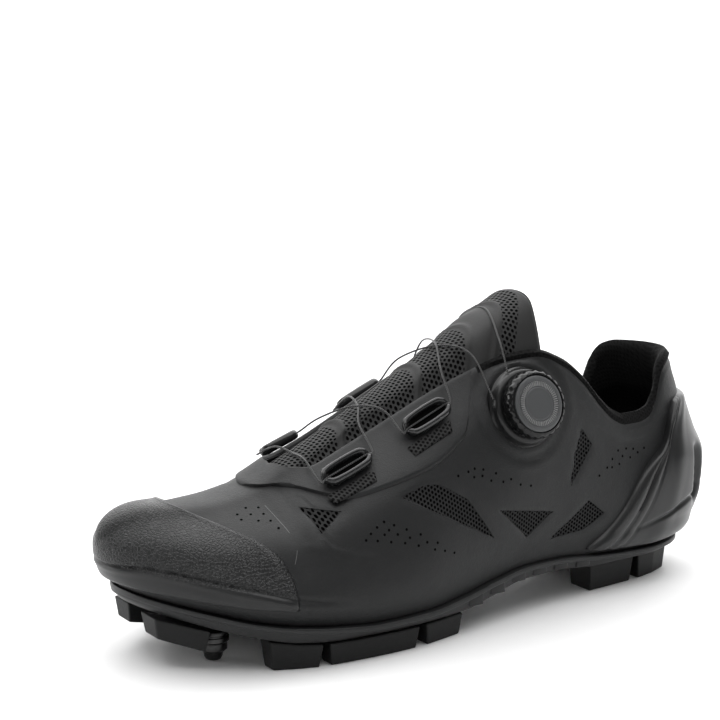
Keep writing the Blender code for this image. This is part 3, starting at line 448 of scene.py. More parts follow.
    def v_at(self, station: float, height: float, side: int) -> float:
        """The v on one side where the form passes a height.

        Args:
            station: The share of the length.
            height: The height.
            side: 1 outside or -1 inside.

        Returns:
            The v, with the side's sign.
        """
        v = np.linspace(self.throat_line, 1.0, 400)
        heights = self.points(np.full(400, self.u_of(station)), side * v)[:, 2]
        return side * float(np.interp(-height, -heights, v))

    def throat_edge(self, u: float) -> float:
        """The v of the upper's top edge.

        Args:
            u: From heel to toe.

        Returns:
            The v, which is 0 before the throat.
        """
        station = self.station(u)
        if station >= self.throat_front:
            return 0.0
        share = max(0.0, (station - self.throat_front + self.throat_bend) / self.throat_bend)
        return self.throat_line * math.sqrt(max(0.0, 1 - share * share))

    def padding(self, u: float, v: float) -> float:
        """How much thicker the wall is at u, v, where foam fills the collar.

        Args:
            u: From heel to toe.
            v: Across the shoe.

        Returns:
            The added thickness.
        """
        fade = clamp((0.315 - self.station(u)) / 0.05)
        share = max(0.0, 1 - (abs(v) - self.throat_line) / self.collar_depth)
        swell = math.sin(math.pi * min(1.0, 0.25 + 0.5 * share)) if share else 0.0
        return self.collar_pad * fade * swell * min(1.0, share * 3)

    def frame(self, station: float, v: float, lift: float) -> Matrix:
        """A frame that stands on the form: X runs towards the toe, Z points outwards.

        Args:
            station: The share of the length.
            v: Across the shoe.
            lift: Its offset outside the form.

        Returns:
            The frame.
        """
        u = self.u_of(station)
        normal = Vector(self.normal(u, v))
        step = self.point(self.u_of(station + 0.01), v) - self.point(self.u_of(station - 0.01), v)
        ahead = Vector(step).normalized()
        across = normal.cross(ahead).normalized()
        ahead = across.cross(normal)
        rotation = Matrix((ahead, across, normal)).transposed().to_4x4()
        return Matrix.Translation(self.skin(u, v, lift)) @ rotation


FORM = Form()


@dataclass(slots=True)
class Spot:
    """A place on a sheet: its own coordinates a and b, and the form's u, v, station and point there."""

    a: float
    b: float
    u: float
    v: float
    station: float
    point: np.ndarray

    @property
    def height(self) -> float:
        """The point's share of the instep's height."""
        return float(self.point[2]) / FORM.instep_height


class Sock:
    """A shader socket that takes part in Python expressions, each of which adds its Math node."""

    def __init__(self, shader: Shader, link: bpy.types.NodeSocket) -> None:
        """Wraps an output socket of a shader's tree."""
        self.shader = shader
        self.link = link

    def math(self, operation: str, *values: Sock | float) -> Sock:
        """The result of a Math node on these values."""
        node = self.shader.node("ShaderNodeMath", {"operation": operation}, dict(enumerate(values)))
        return Sock(self.shader, node.outputs[0])

    def __add__(self, other: Sock | float) -> Sock:
        """self + other."""
        return self.math("ADD", self, other)

    __radd__ = __add__

    def __sub__(self, other: Sock | float) -> Sock:
        """self - other."""
        return self.math("SUBTRACT", self, other)

    def __rsub__(self, other: Sock | float) -> Sock:
        """other - self."""
        return self.math("SUBTRACT", other, self)

    def __mul__(self, other: Sock | float) -> Sock:
        """self * other."""
        return self.math("MULTIPLY", self, other)

    __rmul__ = __mul__

    def cos(self) -> Sock:
        """The cosine."""
        return self.math("COSINE", self)

    def abs(self) -> Sock:
        """The distance from 0."""
        return self.math("ABSOLUTE", self)

    def floor(self) -> Sock:
        """The whole part."""
        return self.math("FLOOR", self)

    def fract(self) -> Sock:
        """What is left above the whole part."""
        return self.math("FRACT", self)

    def over(self, other: Sock | float) -> Sock:
        """The larger of the two."""
        return self.math("MAXIMUM", self, other)

    def under(self, other: Sock | float) -> Sock:
        """The smaller of the two."""
        return self.math("MINIMUM", self, other)

    def step(self, low: float, high: float) -> Sock:
        """A soft step from 0 at low to 1 at high.

        Args:
            low: Where it starts.
            high: Where it ends.

        Returns:
            The step.
        """
        settings = {"interpolation_type": "SMOOTHSTEP"}
        node = self.shader.node("ShaderNodeMapRange", settings, {0: self, 1: low, 2: high})
        return Sock(self.shader, node.outputs[0])


class Shader:
    """A material whose nodes are added by one method."""

    def __init__(self, name: str) -> None:
        """Makes the material with its Principled shader.

        Args:
            name: The material's name.
        """
        self.material = bpy.data.materials.new(name)
        self.material.use_nodes = True
        self.tree = self.material.node_tree
        self.surface = self.tree.nodes["Principled BSDF"]

    def node(self, kind: str, settings: dict | None = None, values: dict | None = None) -> bpy.types.Node:
        """Adds a node.

        Args:
            kind: The node's type.
            settings: Its settings, which are set first.
            values: Values or links of its inputs, by number or name.

        Returns:
            The node.
        """
        made = self.tree.nodes.new(kind)
        for key, value in (settings or {}).items():
            setattr(made, key, value)
        for key, value in (values or {}).items():
            self.feed(made.inputs[key], value)
        return made

    def feed(self, socket: bpy.types.NodeSocket, value: Sock | float | tuple) -> None:
        """Links or sets one input.

        Args:
            socket: The input.
            value: A link or a plain value.
        """
        if isinstance(value, Sock):
            self.tree.links.new(value.link, socket)
        else:
            socket.default_value = value

    def place(self) -> Sock:
        """The object's own coordinates."""
        return Sock(self, self.node("ShaderNodeTexCoord").outputs["Object"])

    def chart(self) -> Sock:
        """The piece's own map, in millimetres."""
        return Sock(self, self.node("ShaderNodeUVMap", {"uv_map": "chart"}).outputs[0])

    def parts(self, vector: Sock) -> tuple[Sock, Sock, Sock]:
        """The three parts of a vector."""
        made = self.node("ShaderNodeSeparateXYZ", None, {0: vector})
        return tuple(Sock(self, made.outputs[i]) for i in range(3))

    def noise(self, vector: Sock, scale: float, detail: float = 3.0, rough: float = 0.5) -> Sock:
        """Soft noise."""
        values = {"Vector": vector, "Scale": scale, "Detail": detail, "Roughness": rough}
        return Sock(self, self.node("ShaderNodeTexNoise", None, values).outputs["Fac"])

    def cells(self, vector: Sock, scale: float, feature: str = "F1", jitter: float = 1.0) -> Sock:
        """The distance to the nearest cell's middle, or to the nearest cell's edge.

        Args:
            vector: The coordinates.
            scale: How many cells go into a metre.
            feature: The node's kind of distance.
            jitter: How uneven the cells are.

        Returns:
            The distance.
        """
        values = {"Vector": vector, "Scale": scale, "Randomness": jitter}
        made = self.node("ShaderNodeTexVoronoi", {"feature": feature}, values)
        return Sock(self, made.outputs["Distance"])

    def mix(self, share: Sock | float, first: Sock | tuple, second: Sock | tuple) -> Sock:
        """A colour between two."""
        made = self.node("ShaderNodeMix", {"data_type": "RGBA"}, {0: share, 6: first, 7: second})
        return Sock(self, made.outputs[2])

    def relief(self, height: Sock, depth: float, strength: float = 1.0, below: Sock | None = None) -> Sock:
        """A bump of a depth in metres, over another if one is given.

        Args:
            height: The height, from 0 to 1.
            depth: The depth of 1.
            strength: How much of it shows.
            below: The bump that it lies on.

        Returns:
            The normal.
        """
        values = {"Strength": strength, "Distance": depth, "Height": height}
        if below:
            values["Normal"] = below
        return Sock(self, self.node("ShaderNodeBump", None, values).outputs[0])

    def coat(self, weight: float, roughness: float) -> None:
        """Sets an even clear coat."""
        self.surface.inputs["Coat Weight"].default_value = weight
        self.surface.inputs["Coat Roughness"].default_value = roughness

    def sheen(self, weight: float, roughness: float) -> None:
        """Sets an even sheen."""
        self.surface.inputs["Sheen Weight"].default_value = weight
        self.surface.inputs["Sheen Roughness"].default_value = roughness

    def finish(
        self, colour: Sock | tuple, roughness: Sock | float, normal: Sock | None = None, shine: float = 0.5
    ) -> None:
        """Sets the surface's colour, roughness and relief, and how strongly it mirrors.

        Args:
            colour: Its colour.
            roughness: Its roughness.
            normal: Its relief.
            shine: How strongly it mirrors.
        """
        self.feed(self.surface.inputs["Base Color"], colour)
        self.feed(self.surface.inputs["Roughness"], roughness)
        self.surface.inputs["Specular IOR Level"].default_value = shine
        if normal:
            self.feed(self.surface.inputs["Normal"], normal)

    def paint_shade(self, mask: Sock) -> None:
        """Paints shade: mixes in a lightless black where the mask is 1, standing in for the shade inside
        holes.

        Args:
            mask: 1 inside the holes, where the painted shade is full.
        """
        end = next(node for node in self.tree.nodes if node.type == "OUTPUT_MATERIAL")
        # Painted shade: a near-black diffuse for the dark inside holes.
        black = self.node("ShaderNodeBsdfDiffuse", None, {0: grey(0.0004)})
        values = {0: mask, 1: Sock(self, self.surface.outputs[0]), 2: Sock(self, black.outputs[0])}
        blend = self.node("ShaderNodeMixShader", None, values)
        self.tree.links.new(blend.outputs[0], end.inputs[0])

    def metal(self) -> None:
        """Makes the surface bare metal."""
        self.surface.inputs["Metallic"].default_value = 1.0

    def glow(self, strength: float) -> None:
        """Lets the surface give even white light."""
        self.surface.inputs["Emission Color"].default_value = grey(1.0)
        self.surface.inputs["Emission Strength"].default_value = strength


def grey(value: float, warm: float = 0.0) -> tuple[float, float, float, float]:
    """A near neutral colour. A negative warm leans it to blue."""
    return (value * (1 + warm), value, value * (1 - warm), 1.0)


def knit_holes(across: Sock, up: Sock, pitch: float) -> Sock:
    """The holes of an open mesh in rows, 1 in each hole and 0 on the threads.

    Args:
        across: The place across the rows.
        up: The place along them.
        pitch: The holes' distance.

    Returns:
        The mask.
    """
    p = across * (2 * math.pi / pitch)
    q = up * (2 * math.pi / (pitch * 1.1))
    waves = p.cos() + (p * 0.5 + q * 0.866).cos() + (p * 0.5 - q * 0.866).cos()
    return waves.step(-0.30, 0.80)


@dataclass(frozen=True)
class Window:
    """A mesh window in the upper: its corners as shares of the length and of the instep's height."""

    side: Side
    corners: Rows

    @cached_property
    def edges(self) -> list[tuple[float, float, float]]:
        """The outward direction and place of each edge, in the plane of length and height.

        Returns:
            Rows of x part, z part and offset, so that a point's distance outside is x * a + z * b - c.
        """
        corners = [(FORM.x(s), h * FORM.instep_height) for s, h in self.corners]
        middle = np.mean(corners, axis=0)
        rows = []
        for first, second in zip(corners, corners[1:] + corners[:1]):
            along = np.subtract(second, first)
            out = np.array([along[1], -along[0]]) / np.linalg.norm(along)
            if np.dot(out, np.subtract(first, middle)) < 0:
                out = -out
            rows.append((float(out[0]), float(out[1]), float(np.dot(out, first))))
        return rows

    def outside(self, x: float, z: float) -> float:
        """The distance of a point outside the window, negative inside it."""
        return max(a * x + b * z - c for a, b, c in self.edges)


WINDOWS = (
    Window(Side.OUTER, ((0.755, 0.534), (0.709, 0.522), (0.746, 0.456))),
    Window(Side.OUTER, ((0.622, 0.549), (0.580, 0.580), (0.556, 0.574), (0.510, 0.505), (0.463, 0.342))),
    Window(Side.OUTER, ((0.452, 0.442), (0.338, 0.385), (0.391, 0.307))),
    Window(Side.OUTER, ((0.338, 0.272), (0.262, 0.396), (0.228, 0.331), (0.270, 0.280))),
    Window(Side.OUTER, ((0.276, 0.682), (0.255, 0.612), (0.304, 0.468), (0.293, 0.598))),
    Window(Side.INNER, ((0.745, 0.520), (0.700, 0.515), (0.736, 0.440))),
    Window(Side.INNER, ((0.615, 0.556), (0.572, 0.584), (0.546, 0.576), (0.500, 0.505), (0.452, 0.345))),
    Window(Side.INNER, ((0.430, 0.440), (0.335, 0.400), (0.385, 0.320))),
)


class Finish:
    """A surface finish, whose kinds each draw their own nodes."""

    def make(self, name: str) -> bpy.types.Material:
        """Builds the material.

        Args:
            name: Its name.

        Returns:
            The material.
        """
        shader = Shader(name)
        self.draw(shader)
        return shader.material

    def draw(self, shader: Shader) -> None:
        """Adds the finish's nodes to a shader."""
        raise NotImplementedError


@dataclass(frozen=True)
class Microfibre(Finish):
    """The matt synthetic leather of the upper, with fine grain, soft creases and its mesh windows; painted
    shade darkens the windows' mesh holes to near-black and their panes a little.
    """

    colour: float = 0.012
    roughness: float = 0.52
    windows: bool = True
    hole_pitch: float = 0.00150
    # Fine scratches beside the toe cap: station and height share at the lower and at the upper end
    scratches: Rows = (
        (0.784, 0.464, 0.789, 0.535),
        (0.793, 0.373, 0.784, 0.418),
    )

    def draw(self, shader: Shader) -> None:
        """Adds the nodes.

        Args:
            shader: Its shader.
        """
        place = shader.place()
        x, y, z = shader.parts(place)
        cloud = shader.noise(place, 38.0, 4.0)
        grain = shader.cells(place, 2100.0)
        fine = shader.noise(place, 900.0, 5.0, 0.6)
        crease = shader.noise(place, 120.0, 4.0, 0.6)
        colour = shader.mix(cloud, grey(self.colour * 0.82, -0.03), grey(self.colour * 1.18, -0.03))
        roughness = fine * 0.16 + cloud * 0.08 + (self.roughness - 0.13)
        normal = shader.relief(crease, 0.0007, 0.35)
        normal = shader.relief(grain + fine * 0.6, 0.00012, 0.55, normal)
        if self.windows:
            inside = self.inside(x, y, z)
            holes = knit_holes(x, z, self.hole_pitch)
            # The mesh holes are painted near-black: painted shade inside them.
            knit_with_hole_shade = shader.mix(holes, grey(0.012, -0.02), grey(0.0010))
            colour = shader.mix(inside, colour, knit_with_hole_shade)
            normal = shader.relief(holes * inside * -1.0, 0.0006, 0.9, normal)
            normal = shader.relief(inside * -1.0, 0.0007, 0.8, normal)
            roughness = roughness + inside * 0.22
            colour = shader.mix(self.scuffs(x, y, z), colour, grey(0.14))
        shader.finish(colour, roughness, normal, 0.28)
        if self.windows:
            # Painted shade: near-black in the mesh holes, and a faint darkening over each whole window.
            shader.paint_shade(holes * inside * 0.92 + inside * 0.05)

    def scuffs(self, x: Sock, y: Sock, z: Sock) -> Sock:
        """1 on the scratches, which are on the outer side.

        Args:
            x: Along the shoe.
            y: Across it.
            z: The height.

        Returns:
            The mask.
        """
        found = None
        for low_x, low_z, high_x, high_z in self.scratches:
            foot, top = low_z * FORM.instep_height, high_z * FORM.instep_height
            slope = (FORM.x(high_x) - FORM.x(low_x)) / (top - foot)
            aside = (x - (z - foot) * slope - FORM.x(low_x)).abs()
            mask = (0.00011 - aside).step(0.0, 0.00008) * (z - foot).step(0.0, 0.0004)
            mask = mask * (top - z).step(0.0, 0.0004)
            found = mask if found is None else found.over(mask)
        return found * y.step(0.0, 0.001)

    @staticmethod
    def inside(x: Sock, y: Sock, z: Sock) -> Sock:
        """1 inside the windows.

        Args:
            x: Along the shoe.
            y: Across it.
            z: The height.

        Returns:
            The mask.
        """
        found = None
        for side in Side:
            reach = None
            for window in WINDOWS:
                if window.side != side:
                    continue
                outside = None
                for a, b, c in window.edges:
                    distance = x * a + z * b - c
                    outside = distance if outside is None else outside.over(distance)
                reach = outside if reach is None else reach.under(outside)
            mask = (reach * -1.0).step(-0.0001, 0.0004) * (y * float(side.value)).step(0.0, 0.004)
            found = mask if found is None else found.over(mask)
        return found


@dataclass(frozen=True)
class Lining(Finish):
    """The knitted padding inside the collar, with painted shade in its holes."""

    colour: float = 0.0045

    def draw(self, shader: Shader) -> None:
        """Adds the nodes.

        Args:
            shader: Its shader.
        """
        across, up, _ = shader.parts(shader.chart())
        holes = knit_holes(across, up, 1.6)
        soft = shader.noise(shader.place(), 60.0, 3.0)
        # The holes are painted darker: painted shade inside them.
        colour = shader.mix(holes, grey(self.colour), grey(self.colour * 0.35))
        normal = shader.relief(holes * -1.0, 0.0004, 0.5, shader.relief(soft, 0.0012, 0.3))
        shader.finish(colour, soft * 0.1 + 0.78, normal, 0.1)
        shader.sheen(0.01, 0.5)


@dataclass(frozen=True)
class TongueMesh(Finish):
    """The tongue's open mesh in panels, with its smooth padded top; the mesh holes are painted near-black as
    shade.
    """

    # The stations where each panel starts and ends
    panels: Rows = ((0.331, 0.360), (0.427, 0.503), (0.518, 0.633), (0.648, 0.742))

    def draw(self, shader: Shader) -> None:
        """Adds the nodes.

        Args:
            shader: Its shader.
        """
        x, y, _ = shader.parts(shader.place())
        across, up, _ = shader.parts(shader.chart())
        holes = knit_holes(across * 1.25, up * 0.9, 2.0)
        bowed = x - y * y * TONGUE_BOW
        found = None
        for start, end in self.panels:
            mask = (bowed - FORM.x(start)).step(-0.0004, 0.0004) * (FORM.x(end) - bowed).step(-0.0004, 0.0004)
            found = mask if found is None else found.over(mask)
        holes = holes * found
        soft = shader.noise(shader.place(), 70.0, 4.0)
        fine = shader.noise(shader.place(), 1500.0, 3.0)
        cloth = shader.mix(soft, grey(0.011), grey(0.016))
        # Painted shade: the mesh holes are near-black.
        colour = shader.mix(holes, cloth, grey(0.0015))
        normal = shader.relief(soft, 0.0009, 0.3)
        normal = shader.relief(holes * -1.0 + fine * 0.15, 0.0006, 0.85, normal)
        shader.finish(colour, holes * 0.15 + fine * 0.1 + 0.52, normal, 0.25)
        shader.sheen(0.02, 0.5)
        # More painted shade: a lightless black mixed into the mesh holes.
        shader.paint_shade(holes * 0.9)


@dataclass(frozen=True)
class GrainedFilm(Finish):
    """The toe cap's tough film, with a leather grain that catches the light."""

    colour: float = 0.0105
    # The smooth rand under the grain: where its upper line starts, its height there and its rise
    rand_start: float = 0.797
    rand_height: float = 0.0300
    rand_rise: float = 0.20

    def draw(self, shader: Shader) -> None:
        """Adds the nodes.

        Args:
            shader: Its shader.
        """
        place = shader.place()
        scales = shader.cells(place, 780.0, "DISTANCE_TO_EDGE")
        fine = shader.noise(place, 1400.0, 4.0, 0.6)
        cloud = shader.noise(place, 45.0, 4.0)
        scuffs = shader.noise(place, 260.0, 6.0, 0.7).step(0.60, 0.72)
        colour = shader.mix(scuffs * cloud, grey(self.colour, -0.03), grey(self.colour * 1.9, -0.02))
        x, _, z = shader.parts(place)
        rand = (x - FORM.x(self.rand_start)) * self.rand_rise + self.rand_height
        above = (z - rand).step(-0.0005, 0.0012)
        normal = shader.relief(scales.step(0.0, 0.25) * above, 0.00028, 0.75)
        normal = shader.relief(fine, 0.00010, 0.5, normal)
        shader.finish(colour, cloud * 0.10 + fine * 0.12 + 0.27, normal, 0.36)


@dataclass(frozen=True)
class Gloss(Finish):
    """Smooth glossy moulding, with faint flow marks."""

    colour: float = 0.009
    roughness: float = 0.24
    marks: float = 0.0004
    shine: float = 0.4

    def draw(self, shader: Shader) -> None:
        """Adds the nodes.

        Args:
            shader: Its shader.
        """
        place = shader.place()
        flow = shader.noise(place, 55.0, 3.0)
        dust = shader.noise(place, 1600.0, 4.0, 0.7)
        colour = shader.mix(flow, grey(self.colour * 0.9, -0.03), grey(self.colour * 1.15, -0.03))
        normal = shader.relief(dust, 0.00006, 0.4, shader.relief(flow, self.marks, 0.25))
        shader.finish(colour, dust * 0.12 + flow * 0.05 + self.roughness - 0.08, normal, self.shine)
        shader.coat(0.12, 0.12)


@dataclass(frozen=True)
class Rubber(Finish):
    """Matt moulded rubber with a fine spark texture and rubbed feet."""

    colour: float = 0.008

    def draw(self, shader: Shader) -> None:
        """Adds the nodes.

        Args:
            shader: Its shader.
        """
        place = shader.place()
        _, _, z = shader.parts(place)
        spark = shader.noise(place, 1300.0, 5.0, 0.65)
        cloud = shader.noise(place, 60.0, 4.0)
        rubbed = (0.0035 - z).step(0.0, 0.0035) * cloud
        colour = shader.mix(cloud, grey(self.colour * 0.85, -0.02), grey(self.colour * 1.2, -0.02))
        colour = shader.mix(rubbed, colour, grey(self.colour * 1.9, 0.01))
        normal = shader.relief(spark, 0.00018, 0.6)
        shader.finish(colour, spark * 0.14 + rubbed * 0.08 + 0.50, normal, 0.22)


@dataclass(frozen=True)
class Moulding(Finish):
    """The satin moulding of the sole plate."""

    colour: float = 0.012

    def draw(self, shader: Shader) -> None:
        """Adds the nodes.

        Args:
            shader: Its shader.
        """
        place = shader.place()
        spark = shader.noise(place, 1900.0, 4.0, 0.6)
        cloud = shader.noise(place, 30.0, 3.0)
        colour = shader.mix(cloud, grey(self.colour * 0.85, -0.03), grey(self.colour * 1.15, -0.03))
        normal = shader.relief(spark, 0.00010, 0.45)
        shader.finish(colour, spark * 0.12 + cloud * 0.08 + 0.36, normal, 0.35)


@dataclass(frozen=True)
class WovenPlate(Finish):
    """Twill of dark fibre bundles under a thin gloss, with the bundles that run one way painted lighter than
    the others as a painted sheen.
    """

    bundle: float = 0.0021
    thread: float = 0.00035

    def draw(self, shader: Shader) -> None:
        """Adds the nodes.

        Args:
            shader: Its shader.
        """
        x, y, _ = shader.parts(shader.place())
        column = (x * (1 / self.bundle)).floor()
        row = (y * (1 / self.bundle)).floor()
        over = ((column + row) * 0.25).fract().step(0.49, 0.51)
        threads_x = (y * (2 * math.pi / self.thread)).cos() * 0.15
        threads_y = (x * (2 * math.pi / self.thread)).cos() * 0.15
        crown_x = (y * (2 * math.pi / self.bundle)).cos() * -0.5
        crown_y = (x * (2 * math.pi / self.bundle)).cos() * -0.5
        height = over * (crown_x + threads_x) + (1.0 - over) * (crown_y + threads_y)
        # Painted sheen: the bundles that run one way are lighter than those that run the other.
        colour = shader.mix(over, grey(0.006), grey(0.030))
        normal = shader.relief(height, 0.00022, 0.7)
        shader.finish(colour, over * 0.12 + 0.26, normal)
        shader.coat(0.35, 0.15)


@dataclass(frozen=True)
class Metal(Finish):
    """Turned metal with fine tool marks and wear."""

    colour: float = 0.22
    roughness: float = 0.30
    scale: float = 700.0

    def draw(self, shader: Shader) -> None:
        """Adds the nodes.

        Args:
            shader: Its shader.
        """
        place = shader.place()
        marks = shader.noise(place, self.scale, 5.0, 0.7)
        cloud = shader.noise(place, 150.0, 3.0)
        colour = shader.mix(cloud, grey(self.colour * 0.8), grey(self.colour * 1.2))
        normal = shader.relief(marks, 0.00008, 0.5)
        shader.finish(colour, marks * 0.15 + self.roughness - 0.05, normal)
        shader.metal()


@dataclass(frozen=True)
class Strand(Finish):
    """Fine steel strands laid into a wire, with painted glints on the strands' crowns."""

    def draw(self, shader: Shader) -> None:
        """Adds the nodes.

        Args:
            shader: Its shader.
        """
        along, round_it, _ = shader.parts(shader.chart())
        lay_and_glint = (along * (2 * math.pi / 1.1) + round_it * (2 * math.pi * 4)).cos()
        # Painted glints: the strands' crowns are lighter than their flanks.
        colour = shader.mix(lay_and_glint * 0.5 + 0.5, grey(0.015), grey(0.11))
        shader.finish(colour, 0.34, shader.relief(lay_and_glint, 0.00012, 0.8))
        shader.metal()


@dataclass(frozen=True)
class Webbing(Finish):
    """Woven tape under the guides, with painted shade in the holes of its weave."""

    def draw(self, shader: Shader) -> None:
        """Adds the nodes.

        Args:
            shader: Its shader.
        """
        across, up, _ = shader.parts(shader.chart())
        holes = knit_holes(across, up, 1.5)
        # Painted shade: the weave's holes are near-black, with a lightless black mixed in.
        colour = shader.mix(holes, grey(0.014), grey(0.001))
        shader.finish(colour, 0.62, shader.relief(holes * -1.0, 0.0005, 0.9), 0.25)
        shader.paint_shade(holes * 0.7)


@dataclass(frozen=True)
class Plain(Finish):
    """A finish of one colour with a little unevenness, for the floor, the backdrop, the near-black discs of
    painted shade in punched holes and guide channels, and the like.
    """

    colour: float
    roughness: float
    light: float = 0.0

    def draw(self, shader: Shader) -> None:
        """Adds the nodes.

        Args:
            shader: Its shader.
        """
        cloud = shader.noise(shader.place(), 90.0, 2.0)
        colour = shader.mix(cloud, grey(self.colour * 0.97), grey(self.colour))
        shader.finish(colour, self.roughness, None, clamp(self.colour * 2))
        shader.glow(self.light)


MATERIALS: dict[str, bpy.types.Material] = {}


def finish_of(name: str, recipe: Finish) -> bpy.types.Material:
    """The material of a finish, made once.

    Args:
        name: The material's name.
        recipe: The finish.

    Returns:
        The material.
    """
    if name not in MATERIALS:
        MATERIALS[name] = recipe.make(name)
    return MATERIALS[name]


Lift = Callable[[Spot], float]


class Maker:
    """Shared ways to make and hand over pieces."""

    def hand_over(
        self,
        bm: bmesh.types.BMesh,
        name: str,
        slot: Slot,
        materials: Sequence[bpy.types.Material],
        nodes: Sequence[str] = (),
        sharp: float = 35.0,
    ) -> bpy.types.Object:
        """Turns a mesh into a piece that rides on the shoe.

        Args:
            bm: The mesh, which is freed.
            name: The piece's name.
            slot: Not used.
            materials: Its materials, in the order of the faces' indices.
            nodes: The solids that it stands for.
            sharp: Edges above this angle stay sharp, in degrees.

        Returns:
            The piece.
        """
        mesh = bpy.data.meshes.new(name)
        bm.to_mesh(mesh)
        bm.free()
        mesh.shade_smooth()
        mesh.set_sharp_from_angle(angle=math.radians(sharp))
        for material in materials:
            mesh.materials.append(material)
        piece = bpy.data.objects.new(name, mesh)
        bpy.context.scene.collection.objects.link(piece)
        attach(piece, "root")
        if nodes:
            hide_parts(*nodes)
        LOG.info("%s: %d faces", name, len(mesh.polygons))
        return piece

    def grid(self, bm: bmesh.types.BMesh, columns: int, rows: int, place: Place) -> None:
        """Adds a flat grid, whose points are put at place(a, b) in the sheet's own coordinates.

        Args:
            bm: The mesh that it goes into.
            columns: Its steps from heel to toe.
            rows: Its steps across.
            place: Gives the coordinates for shares from 0 to 1.
        """
        made = bmesh.ops.create_grid(bm, x_segments=columns, y_segments=rows, size=0.5)
        for vert in made["verts"]:
            vert.co = (*place(vert.co.x + 0.5, vert.co.y + 0.5), 0)

    def halves(self, bm: bmesh.types.BMesh, columns: int, rows: int) -> None:
        """Adds a grid for each side of the shoe, whose b has the side's sign."""
        for side in Side:
            self.grid(bm, columns, rows, lambda a, b, s=side: (a, s.value * (b + 1e-9)))

    def wall(
        self,
        bm: bmesh.types.BMesh,
        place: Place,
        outer: Lift,
        inner: Lift,
        inner_material: int = 0,
        seams: bool = True,
    ) -> None:
        """Turns a flat sheet into a closed wall on the form.

        Args:
            bm: The sheet, drawn in its own coordinates a and b.
            place: Gives u and v for a and b.
            outer: The outer face's offset from the form at a spot.
            inner: The inner face's offset.
            inner_material: The material index of the inner face.
            seams: Whether side faces on the heel seam, toe tip and ridge are left out.
        """
        sheet = set(bm.faces)
        made = bmesh.ops.extrude_face_region(bm, geom=list(bm.faces), use_keep_orig=True)
        raised = {item for item in made["geom"] if isinstance(item, bmesh.types.BMVert)}
        faces = {item for item in made["geom"] if isinstance(item, bmesh.types.BMFace)}
        if seams:
            sides = [face for face in bm.faces if face not in sheet and face not in faces]
            closed = [f for f in sides if all(self.on_seam(*place(vert.co.x, vert.co.y)) for vert in f.verts)]
            bmesh.ops.delete(bm, geom=closed, context="FACES")
        for face in sheet:
            face.material_index = inner_material
        verts = list(bm.verts)
        flat = [(vert.co.x, vert.co.y) for vert in verts]
        spread = np.array([place(*ab) for ab in flat])
        u, v = spread[:, 0], spread[:, 1]
        points, normals = FORM.points(u, v), FORM.normals(u, v)
        lengthwise = (1 - np.cos(np.pi * u)) / 2 * FORM.length * 1000
        chart = bm.loops.layers.uv.new("chart")
        for vert, x, y in zip(verts, lengthwise, FORM.girths(u, v) * 1000):
            for loop in vert.link_loops:
                loop[chart].uv = (x, y)
        for i, vert in enumerate(verts):
            spot = Spot(*flat[i], u[i], v[i], FORM.station(u[i]), points[i])
            lift = (outer if vert in raised else inner)(spot)
            vert.co = points[i] + normals[i] * lift
        bmesh.ops.remove_doubles(bm, verts=bm.verts, dist=2e-6)
        bmesh.ops.dissolve_degenerate(bm, edges=bm.edges, dist=1e-7)
        bmesh.ops.recalc_face_normals(bm, faces=bm.faces)

    @staticmethod
    def on_seam(u: float, v: float) -> bool:
        """Whether a point lies where two halves of a sheet meet."""
        return u < 1e-6 or u > 1 - 1e-6 or abs(v) < 1e-6

    @staticmethod
    def turned(profile: Sequence[tuple[float, float]], frame: Matrix, steps: int = 64) -> bmesh.types.BMesh:
        """Makes a turned shape: a profile of radius and height, spun round the frame's Z.

        Args:
            profile: Points of radius and height. The first and last may lie on the axis.
            frame: Where the shape stands.
            steps: How many steps a full turn has.

        Returns:
            Its mesh.
        """
        bm = bmesh.new()
        verts = [bm.verts.new((radius, 0, height)) for radius, height in profile]
        edges = [bm.edges.new(pair) for pair in zip(verts, verts[1:])]
        bmesh.ops.spin(bm, geom=verts + edges, steps=steps, use_merge=True, **FULL_TURN)
        bmesh.ops.remove_doubles(bm, verts=bm.verts, dist=1e-6)
        bmesh.ops.recalc_face_normals(bm, faces=bm.faces)
        bmesh.ops.transform(bm, matrix=frame, verts=bm.verts)
        return bm


